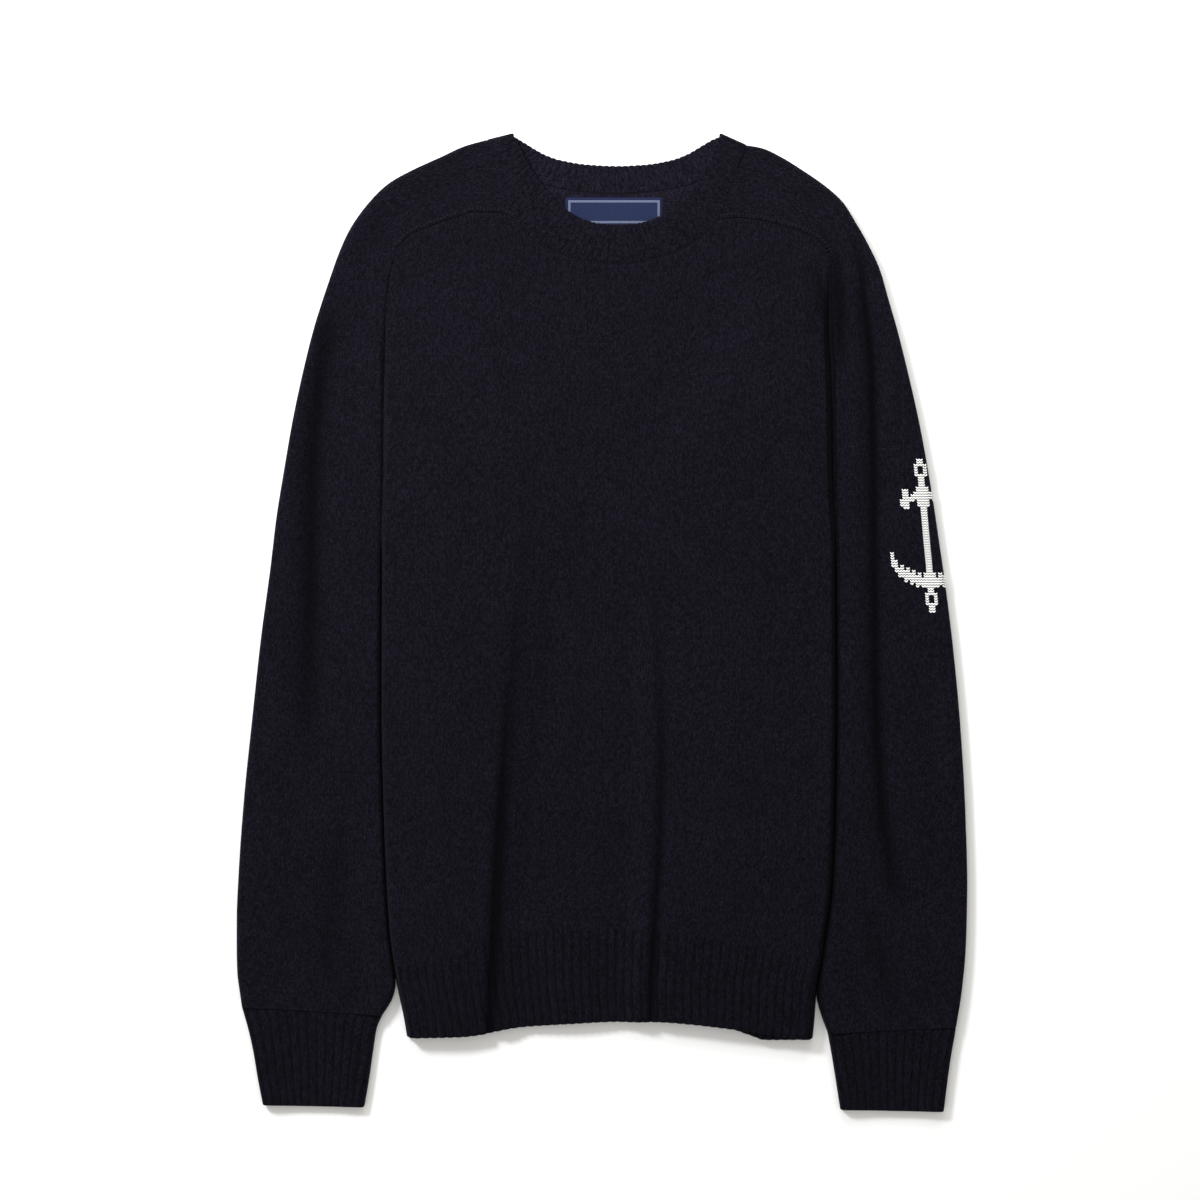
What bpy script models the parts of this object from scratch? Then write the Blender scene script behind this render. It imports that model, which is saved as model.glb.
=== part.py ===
"""A guernsey fisherman sweater laid flat, front up, with its sides tucked under.

The part lies on the plane z = 0 with its neck towards +Y. The origin is under the
middle of its outline. Left and right are the wearer's, so the left sleeve is at +X.
Front and back lie on each other. The width of the body that is tucked under at each
side is one rounded double layer. Tables are in millimetres from the origin.
"""

import math
from collections import namedtuple

import bmesh
import bpy
import numpy as np

MM = 0.001

# Cloth
WALL = 2.2
LAYER_GAP = 0.4
LAYER_PITCH = WALL + LAYER_GAP
FLOOR_LAYER = WALL / 2
SECOND_LAYER = FLOOR_LAYER + LAYER_PITCH
SEAM = 0.3
SEAM_DROP = 0.5
TOP_SEAM_LEVEL = SECOND_LAYER + 0.9

# Ribs
RIB_RELIEF = 0.8
HEM_RIBS = 48
CUFF_RIBS = 13
COLLAR_RIB_PITCH = 4.9

# Folds at the edges of the body and the sleeves
SLEEVE_INNER_FOLD = 2.9
SLEEVE_OUTER_FOLD = 2.6
CUFF_FOLD = 2.1
COLLAR_FOLD = (TOP_SEAM_LEVEL - FLOOR_LAYER) / 2
CREVICE = {"left": 0.9, "right": 0.5}
FOLD_STEPS = 5
RIDGE_WIDTH = 24.0
BACK_OVERHANG = 1.5

# The tucked sides
TUCK_THICKNESS = 4.6
TUCK_TIP_THICKNESS = 1.0
TUCK_TAPER_START = 150.0
TUCK_TOP = 235.0
TUCK_RAMP = 24.0
TUCK_MARGIN = 15.0
LIFT_ENDS = 256.0
TUCK_HEM_INSET = 1.5
SEAM_MEETS_FLOOR = (225.0, 250.0)
ARMHOLE_OPENS = 62.0
TUCK_MEETS_SLEEVE = (76.0, 92.0)
SADDLE_NARROWS = (335.0, 357.0)
EDGE_LOFT = 0.5
CENTRE_LOFT = 1.2
BODY_FOLD = (TUCK_THICKNESS + LAYER_GAP + LAYER_PITCH + EDGE_LOFT) / 2

# The label on the back's inner face
LABEL_WIDTH = 73.0
LABEL_HEIGHT = 36.0
LABEL_THICKNESS = 0.6
LABEL_CENTRE = (9.0, 301.0)

NAVY = (0.0100, 0.0093, 0.0150)
RIB_NAVY = (0.0088, 0.0080, 0.0132)
LABEL_BLUE = (0.040, 0.046, 0.125)

# The body's visible side edges, from the hem up to the corners of the saddle seams.
Edge = namedtuple("Edge", "up right left")
BODY_EDGES = [
    Edge(-313.0, -145.5, 157.5),
    Edge(-298.0, -148.0, 159.0),
    Edge(-272.0, -153.5, 161.0),
    Edge(-253.0, -157.0, 165.0),
    Edge(-230.5, -160.0, 168.0),
    Edge(-200.0, -162.0, 172.0),
    Edge(-140.0, -164.5, 174.5),
    Edge(-60.0, -166.0, 175.5),
    Edge(43.0, -165.5, 175.0),
    Edge(114.5, -164.0, 172.5),
    Edge(189.5, -163.5, 171.5),
    Edge(219.5, -163.0, 170.0),
    Edge(239.0, -162.0, 170.0),
    Edge(254.0, -160.5, 170.0),
    Edge(269.0, -157.5, 170.5),
    Edge(281.5, -153.0, 171.0),
]

# How far the tucked sides reach inwards from those edges.
Tuck = namedtuple("Tuck", "up right left")
TUCK_DEPTHS = [
    Tuck(-313.0, 50.0, 110.0),
    Tuck(-176.0, 71.0, 119.0),
    Tuck(-35.0, 89.0, 118.0),
    Tuck(70.0, 96.0, 114.0),
    Tuck(150.0, 62.0, 72.0),
    Tuck(235.0, 16.0, 18.0),
]

# How far the front's side edges roll over, in degrees.
Roll = namedtuple("Roll", "up angle")
EDGE_ROLLS = [
    Roll(43.0, 180.0),
    Roll(56.0, 90.0),
    Roll(190.0, 90.0),
    Roll(235.0, 50.0),
    Roll(255.0, 34.0),
    Roll(275.0, 16.0),
]

# Lines across the body.
Point = namedtuple("Point", "across up")
FRONT_TOP = [
    Point(-143.0, 291.5), Point(-127.5, 298.0), Point(-110.0, 304.0), Point(-94.5, 308.0),
    Point(-79.0, 308.0), Point(-66.0, 303.5), Point(-58.5, 293.0), Point(-46.5, 284.0),
    Point(-30.0, 276.5), Point(-9.0, 271.0), Point(11.0, 269.0), Point(31.5, 271.0),
    Point(52.5, 277.0), Point(69.0, 285.5), Point(80.0, 293.5), Point(88.0, 302.5),
    Point(101.0, 304.0), Point(115.0, 302.5), Point(128.0, 300.0), Point(142.5, 296.0),
    Point(154.5, 291.5), Point(165.0, 284.0),
]
BACK_TOP = [
    Point(-148.5, 290.0), Point(-136.5, 300.5), Point(-121.0, 311.5), Point(-104.0, 322.0),
    Point(-87.0, 332.0), Point(-69.0, 341.5), Point(-56.0, 333.5), Point(-40.5, 327.5),
    Point(-13.0, 323.0), Point(11.0, 321.5), Point(35.0, 323.0), Point(63.0, 327.5),
    Point(79.0, 333.5), Point(91.5, 341.0), Point(103.0, 333.5), Point(115.0, 326.0),
    Point(127.5, 317.5), Point(143.0, 308.0), Point(157.5, 297.5), Point(168.0, 284.5),
]
HEM_TOP = [
    Point(-148.0, -257.0), Point(-127.0, -252.5), Point(-103.5, -246.5), Point(-81.0, -236.0),
    Point(-46.5, -230.0), Point(-1.0, -229.0), Point(43.5, -230.5), Point(67.5, -233.5),
    Point(113.0, -242.0), Point(144.0, -248.0), Point(165.0, -253.0),
]
FRONT_HEM = [
    Point(-145.5, -311.0), Point(-106.5, -310.0), Point(-88.0, -308.0), Point(-69.0, -304.0),
    Point(-24.0, -300.5), Point(11.0, -299.0), Point(43.5, -299.0), Point(66.0, -300.5),
    Point(88.5, -303.0), Point(111.0, -306.0), Point(133.5, -309.5), Point(157.5, -313.0),
]
BACK_HEM = [
    Point(-145.5, -310.0), Point(-88.0, -307.0), Point(-69.0, -303.0), Point(-24.0, -299.5),
    Point(11.0, -298.0), Point(43.5, -298.0), Point(88.5, -302.0), Point(111.0, -309.0),
    Point(122.0, -312.5), Point(141.0, -312.5), Point(155.0, -312.0),
]

# Sections of the sleeves from the cuff up and over the shoulder to the collar. Each runs
# from the front seam (or the fold beside the body) over the sleeve's outer fold to the
# back seam. Roll is how far the front seam edge turns down, in degrees.
Section = namedtuple("Section", "front_x front_y fold_x fold_y back_x back_y roll")
RIGHT_SLEEVE = [
    Section(-165.0, -294.5, -270.0, -288.5, -165.0, -294.5, 180),
    Section(-157.0, -281.0, -272.0, -275.0, -157.0, -281.0, 180),
    Section(-155.0, -271.0, -273.5, -263.0, -155.0, -271.0, 180),
    Section(-157.0, -254.5, -274.0, -245.5, -157.0, -254.5, 180),
    Section(-160.0, -230.5, -274.0, -223.0, -160.0, -230.5, 180),
    Section(-162.5, -193.0, -272.5, -187.0, -162.5, -193.0, 180),
    Section(-164.5, -133.0, -268.5, -131.5, -164.5, -133.0, 180),
    Section(-166.0, -73.0, -262.5, -73.0, -166.0, -73.0, 180),
    Section(-166.0, -13.0, -256.0, -13.0, -166.0, -13.0, 180),
    Section(-165.5, 43.0, -248.5, 43.0, -165.5, 43.0, 180),
    Section(-165.3, 56.0, -247.0, 56.0, -165.3, 56.0, 90),
    Section(-164.8, 77.0, -244.5, 77.0, -164.8, 77.0, 90),
    Section(-164.0, 114.5, -238.5, 114.5, -164.0, 114.5, 90),
    Section(-163.6, 152.0, -232.0, 152.0, -163.6, 152.0, 90),
    Section(-163.5, 189.5, -224.0, 189.5, -163.5, 189.5, 90),
    Section(-163.0, 219.5, -216.5, 219.5, -163.0, 219.5, 65),
    Section(-162.0, 239.0, -210.5, 239.0, -162.0, 239.0, 46),
    Section(-160.5, 254.0, -205.0, 255.5, -160.5, 254.0, 34),
    Section(-157.5, 269.0, -198.0, 275.5, -157.5, 269.0, 22),
    Section(-153.0, 281.5, -190.0, 293.5, -154.5, 279.5, 15),
    Section(-143.0, 291.5, -177.0, 312.5, -148.5, 290.0, 12),
    Section(-127.5, 298.0, -160.5, 329.0, -136.5, 300.5, 12),
    Section(-110.0, 304.0, -141.0, 340.0, -121.0, 311.5, 12),
    Section(-94.5, 308.0, -121.5, 349.0, -104.0, 322.0, 12),
    Section(-79.0, 308.0, -103.0, 357.5, -87.0, 332.0, 12),
    Section(-66.0, 303.5, -87.0, 362.0, -69.0, 341.5, 12),
]
LEFT_SLEEVE = [
    Section(169.5, -308.0, 265.5, -303.5, 169.5, -308.0, 180),
    Section(163.0, -289.0, 268.5, -286.0, 163.0, -289.0, 180),
    Section(161.0, -279.0, 270.5, -271.0, 161.0, -279.0, 180),
    Section(164.0, -257.0, 272.5, -250.0, 164.0, -257.0, 180),
    Section(168.0, -230.5, 273.5, -227.0, 168.0, -230.5, 180),
    Section(172.0, -200.5, 274.0, -197.0, 172.0, -200.5, 180),
    Section(174.5, -140.5, 272.5, -140.5, 174.5, -140.5, 180),
    Section(175.5, -80.5, 269.0, -80.5, 175.5, -80.5, 180),
    Section(175.5, -20.5, 263.5, -20.5, 175.5, -20.5, 180),
    Section(175.0, 43.0, 255.5, 43.0, 175.0, 43.0, 180),
    Section(174.7, 56.0, 253.5, 56.0, 174.7, 56.0, 90),
    Section(173.9, 77.0, 250.5, 77.0, 173.9, 77.0, 90),
    Section(172.5, 114.5, 244.5, 114.5, 172.5, 114.5, 90),
    Section(172.0, 152.0, 237.5, 152.0, 172.0, 152.0, 90),
    Section(171.5, 189.5, 229.0, 189.5, 171.5, 189.5, 90),
    Section(170.0, 219.5, 221.5, 219.5, 170.0, 219.5, 65),
    Section(170.0, 242.0, 215.0, 242.0, 170.0, 242.0, 46),
    Section(170.0, 260.0, 208.5, 264.5, 170.0, 260.0, 30),
    Section(171.0, 275.0, 200.0, 283.0, 172.5, 273.5, 18),
    Section(165.0, 284.0, 191.0, 299.0, 168.0, 284.5, 12),
    Section(154.5, 291.5, 180.0, 316.0, 157.5, 297.5, 12),
    Section(142.5, 296.0, 166.0, 328.5, 143.0, 308.0, 12),
    Section(128.0, 300.0, 150.0, 339.5, 127.5, 317.5, 12),
    Section(115.0, 302.5, 134.0, 349.5, 115.0, 326.0, 12),
    Section(101.0, 304.0, 120.0, 356.0, 103.0, 333.5, 12),
    Section(88.0, 302.5, 109.0, 358.0, 91.5, 341.0, 12),
]
RIGHT_CUFF = [
    Section(-165.0, -294.5, -270.0, -288.5, -165.0, -294.5, 180),
    Section(-169.0, -303.5, -266.0, -301.0, -169.0, -303.5, 180),
    Section(-172.0, -322.0, -261.5, -320.5, -172.0, -322.0, 180),
    Section(-175.0, -343.0, -258.0, -341.5, -175.0, -343.0, 180),
    Section(-178.5, -363.5, -254.0, -362.0, -178.5, -363.5, 180),
]
LEFT_CUFF = [
    Section(169.5, -308.0, 265.5, -303.5, 169.5, -308.0, 180),
    Section(172.5, -324.5, 262.0, -322.0, 172.5, -324.5, 180),
    Section(175.5, -343.0, 259.0, -343.0, 175.5, -343.0, 180),
    Section(179.0, -365.5, 256.0, -367.0, 179.0, -365.5, 180),
]

# The outer corners of the front and the back, where the saddle seams turn down.
RIGHT_CORNER = RIGHT_SLEEVE[19]
LEFT_CORNER = LEFT_SLEEVE[18]

# The collar band, anticlockwise from above: its linked edge and its free edge.
Band = namedtuple("Band", "seam_x seam_y free_x free_y")
COLLAR_FRONT = [
    Band(-87.0, 362.0, -67.0, 367.0),
    Band(-81.0, 344.5, -61.5, 355.0),
    Band(-74.0, 326.0, -55.0, 342.5),
    Band(-66.0, 303.5, -43.5, 326.5),
    Band(-58.5, 293.0, -35.0, 317.0),
    Band(-46.5, 284.0, -25.5, 308.5),
    Band(-30.0, 276.5, -13.5, 302.0),
    Band(-9.0, 271.0, -1.5, 298.8),
    Band(11.0, 269.0, 11.0, 298.0),
    Band(31.5, 271.0, 25.0, 298.8),
    Band(52.5, 277.0, 37.5, 302.0),
    Band(69.0, 285.5, 49.5, 308.0),
    Band(80.0, 293.5, 59.0, 315.5),
    Band(88.0, 302.5, 67.5, 324.5),
    Band(95.0, 321.0, 76.5, 339.5),
    Band(102.0, 339.5, 83.0, 353.0),
    Band(109.0, 358.0, 89.0, 367.0),
]
COLLAR_BACK = [
    Band(109.0, 358.0, 89.0, 367.0),
    Band(100.0, 349.5, 82.5, 362.0),
    Band(91.5, 341.0, 74.0, 357.0),
    Band(79.0, 333.5, 64.5, 351.5),
    Band(63.0, 327.5, 52.5, 347.0),
    Band(35.0, 323.0, 32.0, 343.5),
    Band(11.0, 321.5, 11.0, 342.5),
    Band(-13.0, 323.0, -10.0, 343.5),
    Band(-40.5, 327.5, -31.5, 347.0),
    Band(-56.0, 333.5, -43.0, 351.0),
    Band(-69.0, 341.5, -52.0, 356.0),
    Band(-78.0, 352.0, -60.0, 361.0),
    Band(-87.0, 362.0, -67.0, 367.0),
]

# Grid sizes
BODY_ROWS = 20
YOKE_ROWS = 3
HEM_ROWS = 2
SLEEVE_TOP_STEPS = 7
SLEEVE_UNDER_STEPS = 4
COLLAR_ROWS = 2


def column(table, name):
    """One named column of a table, as an array."""
    return np.array([getattr(row, name) for row in table])


def ease(value):
    """Smooth step from 0 to 1."""
    value = np.clip(value, 0.0, 1.0)
    return value * value * (3.0 - 2.0 * value)


def between(limits, value):
    """Smooth step from 0 at the first limit to 1 at the second."""
    return ease((value - limits[0]) / (limits[1] - limits[0]))


def mix(first, second, share):
    """Blend of two values."""
    return first + (second - first) * share


def curve(knots, values, at):
    """Smooth curve through a table's points that never overshoots them."""
    knots = np.asarray(knots, float)
    values = np.asarray(values, float)
    steps = np.diff(knots)
    slopes = np.diff(values) / steps
    tangents = np.zeros(len(knots))
    same_way = slopes[:-1] * slopes[1:] > 0
    mean = 2.0 * slopes[:-1] * slopes[1:] / np.where(same_way, slopes[:-1] + slopes[1:], 1.0)
    tangents[1:-1] = np.where(same_way, mean, 0.0)
    tangents[0] = slopes[0]
    tangents[-1] = slopes[-1]
    at = np.clip(at, knots[0], knots[-1])
    span = np.clip(np.searchsorted(knots, at) - 1, 0, len(steps) - 1)
    part = (at - knots[span]) / steps[span]
    blend = ease(part)
    rise = steps[span] * part * (1.0 - part)
    bend = rise * ((1.0 - part) * tangents[span] - part * tangents[span + 1])
    return values[span] * (1.0 - blend) + values[span + 1] * blend + bend


def across_line(line, across):
    """Height of a line across the body."""
    return curve(column(line, "across"), column(line, "up"), across)


def body_edge(side, up):
    """Where the body's side edge lies, with its half of the crevice left clear."""
    outline = curve(column(BODY_EDGES, "up"), column(BODY_EDGES, side), up)
    inwards = -1.0 if side == "left" else 1.0
    return outline + inwards * CREVICE[side]


def tuck_thickness(up):
    """Thickness of the tucked double layer, which thins out towards the shoulder."""
    part = (up - TUCK_TAPER_START) / (TUCK_TOP - TUCK_TAPER_START)
    return TUCK_THICKNESS + (TUCK_TIP_THICKNESS - TUCK_THICKNESS) * ease(part)


def tuck_end(side, up):
    """Where the tucked side ends under the body."""
    depth = curve(column(TUCK_DEPTHS, "up"), column(TUCK_DEPTHS, side), up)
    inwards = -1.0 if side == "left" else 1.0
    return body_edge(side, up) + inwards * depth


def under_level(across, up):
    """Middle of the lower sheet: on the floor, and lifted where it lies on a tuck."""
    gone = 1.0 - ease((up - TUCK_TOP) / (LIFT_ENDS - TUCK_TOP))
    lift = (tuck_thickness(up) + LAYER_GAP) * gone
    reach = TUCK_MARGIN + TUCK_RAMP
    right = ease((tuck_end("right", up) + reach - across) / TUCK_RAMP)
    left = ease((across - tuck_end("left", up) + reach) / TUCK_RAMP)
    return FLOOR_LAYER + lift * np.maximum(right, left)


def upper_level(across, up):
    """Middle of the upper sheet, which lies on the lower one with a little loft."""
    middle = (tuck_end("right", up) + tuck_end("left", up)) / 2
    half = (tuck_end("left", up) - tuck_end("right", up)) / 2
    loft = EDGE_LOFT + (CENTRE_LOFT - EDGE_LOFT) * ease(1.0 - abs(across - middle) / half)
    near_seams = ease((up - TUCK_TOP) / 30.0)
    loft = loft + (TOP_SEAM_LEVEL - SECOND_LAYER - loft) * near_seams
    return under_level(across, up) + LAYER_PITCH + loft


def edge_roll(up):
    """How far the front's side edge rolls over, in radians."""
    return math.radians(np.interp(up, column(EDGE_ROLLS, "up"), column(EDGE_ROLLS, "angle")))


def fold_inset(radius, roll):
    """Distance from the outermost point of a rolled edge back to where the roll starts."""
    return (radius + WALL / 2) * math.sin(min(roll, math.pi / 2))


def rolled(start, heading, level, radius, roll, steps):
    """Points and outward normals around a rolled edge, which starts level."""
    points = []
    for step in range(1, steps + 1):
        turn = roll * step / steps
        reach = radius * math.sin(turn)
        drop = radius * (1.0 - math.cos(turn))
        middle = (start[0] + heading[0] * reach, start[1] + heading[1] * reach, level - drop)
        normal = (heading[0] * math.sin(turn), heading[1] * math.sin(turn), math.cos(turn))
        points.append((middle, normal))
    return points


def fabric(name, colour, roughness):
    """Matt cloth."""
    cloth = bpy.data.materials.new(name)
    cloth.use_nodes = True
    shader = cloth.node_tree.nodes["Principled BSDF"]
    shader.inputs["Base Color"].default_value = (*colour, 1.0)
    shader.inputs["Roughness"].default_value = roughness
    shader.inputs["Metallic"].default_value = 0.0
    cloth.diffuse_color = (*colour, 1.0)
    return cloth


def add_object(name, bm, cloth):
    """Turn a finished bmesh into a named object."""
    bmesh.ops.recalc_face_normals(bm, faces=bm.faces)
    mesh = bpy.data.meshes.new(name)
    bm.to_mesh(mesh)
    bm.free()
    mesh.materials.append(cloth)
    mesh.shade_smooth()
    mesh.set_sharp_from_angle(angle=math.radians(50))
    piece = bpy.data.objects.new(name, mesh)
    bpy.context.scene.collection.objects.link(piece)
    return piece


def add_sheet(name, rows, cloth, outer_relief=None, inner_relief=None):
    """A knitted wall: a flat grid, extruded to its thickness and laid through its points.

    Each row is a list of (middle, normal), and a relief gives the height that a rib
    adds at (row, column).
    """
    row_count = len(rows)
    column_count = len(rows[0])
    bm = bmesh.new()
    bmesh.ops.create_grid(bm, x_segments=column_count - 1, y_segments=row_count - 1, size=1.0)
    outer_verts = set()
    extruded = bmesh.ops.extrude_face_region(bm, geom=bm.faces[:], use_keep_orig=True)
    for item in extruded["geom"]:
        if isinstance(item, bmesh.types.BMVert):
            outer_verts.add(item)
    for vert in bm.verts:
        row = round((vert.co.y + 1.0) / 2.0 * (row_count - 1))
        col = round((vert.co.x + 1.0) / 2.0 * (column_count - 1))
        middle, normal = rows[row][col]
        if vert in outer_verts:
            offset = WALL / 2 + (outer_relief[row][col] if outer_relief is not None else 0.0)
        else:
            offset = -WALL / 2 - (inner_relief[row][col] if inner_relief is not None else 0.0)
        place = [(m + n * offset) * MM for m, n in zip(middle, normal)]
        vert.co = (place[0], place[1], max(place[2], 0.0))
    return add_object(name, bm, cloth)


def across_body(part, up):
    """Place across the body at a height, with part running from -1 to 1."""
    right = START["right"](up)
    left = START["left"](up)
    return right + (left - right) * (part + 1.0) / 2.0


def part_across(across, up):
    """The grid part that lies at a place across the body."""
    right = START["right"](up)
    left = START["left"](up)
    return 2.0 * (across - right) / (left - right) - 1.0


def settle(part, line):
    """Height at which a column of the grid meets a line across the body."""
    up = 0.0
    for _ in range(12):
        up = across_line(line, across_body(part, up))
    return float(up)


def roll_start(side):
    """Where the body's flat part ends and the front's side edge starts to roll."""
    inwards = -1.0 if side == "left" else 1.0
    return lambda up: body_edge(side, up) + inwards * fold_inset(BODY_FOLD, edge_roll(up))


START = {"right": roll_start("right"), "left": roll_start("left")}


def level_normal(level, across, up):
    """Normal of a sheet that follows a level across the body."""
    reach = 1.5
    slope = (level(across + reach, up) - level(across - reach, up)) / (2.0 * reach)
    length = math.hypot(slope, 1.0)
    return (-slope / length, 0.0, 1.0 / length)


def body_row(parts, heights, level, front):
    """One row of a body sheet, with the front's rolled edges or the back's flat ones."""
    row = []
    for part, up in zip(parts, heights):
        across = across_body(part, up)
        middle = (across, up, level(across, up))
        row.append((middle, level_normal(level, across, up)))
    for side, end, outwards in (("right", 0, -1.0), ("left", -1, 1.0)):
        (across, up, height), normal = row[end]
        row[end] = ((across, up, height), (0.0, 0.0, 1.0))
        if front:
            edge = rolled((across, up), (outwards, 0.0), height, BODY_FOLD, edge_roll(up),
                          FOLD_STEPS)
        else:
            to_seam = abs(body_edge(side, up) - across) - SEAM
            reach = mix(BACK_OVERHANG, to_seam, between(SEAM_MEETS_FLOOR, up))
            edge = [((across + outwards * reach, up, height), (0.0, 0.0, 1.0))]
        row = row + edge if end else edge[::-1] + row
    return row


def body_parts():
    """Grid columns of the front and the back, which meet the points of the front's top."""
    return [-1.0] + [part_across(point.across, point.up) for point in FRONT_TOP] + [1.0]


def panel_bottoms(parts):
    """Heights of a panel's lower edge."""
    return [settle(part, HEM_TOP) for part in parts]


def make_panel(name, tops, level, front, cloth):
    """The front or the back, from the rib up to the collar and the saddle seams."""
    parts = body_parts()
    bottoms = panel_bottoms(parts)
    rows = []
    for row in range(BODY_ROWS + 1):
        share = row / BODY_ROWS
        heights = [low + (LIFT_ENDS - low) * share for low in bottoms]
        rows.append(body_row(parts, heights, level, front))
    for row in range(1, YOKE_ROWS + 1):
        share = row / YOKE_ROWS
        heights = [LIFT_ENDS + (high - LIFT_ENDS) * share for high in tops]
        rows.append(body_row(parts, heights, level, front))
    return add_sheet(name, rows, cloth)


def front_tops():
    """Heights of the front's top edge at its columns."""
    line = [point.up - SEAM_DROP for point in FRONT_TOP]
    return [RIGHT_CORNER.front_y] + line + [LEFT_CORNER.front_y]


def back_tops():
    """Heights of the back's top edge at its columns."""
    heights = []
    for part in body_parts()[1:-1]:
        up = LIFT_ENDS
        for _ in range(12):
            up = np.interp(across_body(part, up), column(BACK_TOP, "across"),
                           column(BACK_TOP, "up"))
        heights.append(float(up) - 2.0 * SEAM_DROP)
    return [RIGHT_CORNER.back_y] + heights + [LEFT_CORNER.back_y]


def make_hem_rib(name, line, level, front, column_count, cloth):
    """The ribbed hem below the front or the back, with its ribs raised on the front."""
    parts = [2.0 * col / column_count - 1.0 for col in range(column_count + 1)]
    panel = body_parts()
    tops = np.interp(parts, panel, panel_bottoms(panel)) - SEAM_DROP
    bottoms = [settle(part, line) for part in parts]
    rows = []
    for row in range(HEM_ROWS + 1):
        share = row / HEM_ROWS
        heights = [low + (high - low) * share for low, high in zip(bottoms, tops)]
        rows.append(body_row(parts, heights, level, front))
    relief = np.zeros((len(rows), len(rows[0])))
    if front:
        relief[:, FOLD_STEPS + 1:-FOLD_STEPS - 1:2] = RIB_RELIEF
    return add_sheet(name, rows, cloth, outer_relief=relief)


def make_tuck(name, side, cloth):
    """The side of the body that is tucked under: a rounded double layer on the floor."""
    inwards = -1.0 if side == "left" else 1.0
    stations = [-309.0, -290.0, -272.0, -253.0, -230.0, -200.0, -140.0, -60.0, 0.0, 45.0,
                76.0, 92.0, 125.0, 150.0, 175.0, 200.0, 220.0, TUCK_TOP]
    arc = [math.radians(angle) for angle in (-90, -45, 0, 45, 90)]
    bm = bmesh.new()
    rings = []
    for up in stations:
        clear_of_roll = fold_inset(BODY_FOLD, math.pi / 2) + SEAM
        beside_sleeve = SEAM / 2
        inset = mix(clear_of_roll, beside_sleeve, between(TUCK_MEETS_SLEEVE, up))
        outer = body_edge(side, up) + inwards * inset
        inner = tuck_end(side, up)
        thick = tuck_thickness(up)
        radius = thick / 4
        profile = [(outer, 0.0)]
        for centre in (radius, 3.0 * radius):
            for angle in arc:
                bulge = inner + inwards * radius * (math.cos(angle) - 1.0)
                profile.append((bulge, centre + radius * math.sin(angle)))
        profile.append((outer, thick))
        profile.pop(6)
        ring = []
        for x, z in profile:
            above_hem = max(up, float(across_line(BACK_HEM, x)) + TUCK_HEM_INSET)
            ring.append(bm.verts.new((x * MM, above_hem * MM, max(z, 0.0) * MM)))
        rings.append(ring)
    for lower, upper in zip(rings, rings[1:]):
        for index in range(len(lower)):
            after = (index + 1) % len(lower)
            bm.faces.new((lower[index], lower[after], upper[after], upper[index]))
    bm.faces.new(rings[0])
    bm.faces.new(rings[-1])
    return add_object(name, bm, cloth)


def sleeve_row(section, inner_fold, outer_fold, top_steps, middle_level, clear):
    """One section of a sleeve or cuff, from its front seam around its outer fold."""
    front = np.array([section.front_x, section.front_y])
    fold = np.array([section.fold_x, section.fold_y])
    back = np.array([section.back_x, section.back_y])
    outwards = (fold - front) / np.linalg.norm(fold - front)
    roll = math.radians(section.roll)
    beside_body = min(section.roll / 90.0, 1.0)
    inner_level = mix(middle_level, FLOOR_LAYER + 2.0 * inner_fold, beside_body)
    outer_level = FLOOR_LAYER + 2.0 * outer_fold
    front = front + outwards * clear * beside_body
    start = front + outwards * fold_inset(inner_fold, roll)
    end = fold - outwards * (outer_fold + WALL / 2)
    width = np.linalg.norm(end - start)

    row = rolled(start, -outwards, inner_level, inner_fold, roll, FOLD_STEPS)[::-1]
    for step in range(top_steps + 1):
        share = step / top_steps
        place = start + (end - start) * share
        from_inner = ease(1.0 - share * width / RIDGE_WIDTH)
        from_outer = ease(1.0 - (1.0 - share) * width / RIDGE_WIDTH)
        level = middle_level + (inner_level - middle_level) * from_inner
        level = level + (outer_level - middle_level) * from_outer
        row.append(((place[0], place[1], level), (0.0, 0.0, 1.0)))
    row += rolled(end, outwards, outer_level, outer_fold, math.pi, FOLD_STEPS)

    if section.front_y < ARMHOLE_OPENS:
        seam = front + outwards * (inner_fold + WALL / 2 + SEAM)
    else:
        seam = back + outwards * (clear * beside_body + SEAM / 2)
    for step in range(1, SLEEVE_UNDER_STEPS + 1):
        place = end + (seam - end) * step / SLEEVE_UNDER_STEPS
        row.append(((place[0], place[1], FLOOR_LAYER), (0.0, 0.0, -1.0)))
    return row


def shifted(section, across, up):
    """A section moved bodily."""
    return section._replace(
        front_x=section.front_x + across, fold_x=section.fold_x + across,
        back_x=section.back_x + across, front_y=section.front_y + up,
        fold_y=section.fold_y + up, back_y=section.back_y + up)


def make_sleeve(name, side, table, cloth):
    """A sleeve in one piece with its saddle, from the cuff's seam to the collar's."""
    table = list(table)
    outwards = 1.0 if side == "left" else -1.0
    table[0] = shifted(table[0], 0.0, SEAM)
    table[-1] = shifted(table[-1], outwards * SEAM, 0.0)
    rows = []
    for section in table:
        outer_fold = mix(SLEEVE_OUTER_FOLD, COLLAR_FOLD, between(SADDLE_NARROWS, section.fold_y))
        rows.append(sleeve_row(section, SLEEVE_INNER_FOLD, outer_fold, SLEEVE_TOP_STEPS,
                               TOP_SEAM_LEVEL, CREVICE[side]))
    return add_sheet(name, rows, cloth)


def make_cuff(name, side, table, cloth):
    """A ribbed cuff."""
    top_steps = 2 * CUFF_RIBS
    rows = [sleeve_row(section, CUFF_FOLD, CUFF_FOLD, top_steps, SECOND_LAYER + EDGE_LOFT,
                       CREVICE[side]) for section in table]
    ribs = [RIB_RELIEF * (step % 2) for step in range(top_steps + 1)]
    plain = [0.0] * FOLD_STEPS
    relief = [plain + ribs + plain + [0.0] * SLEEVE_UNDER_STEPS for _ in rows]
    return add_sheet(name, rows, cloth, outer_relief=relief)


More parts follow.
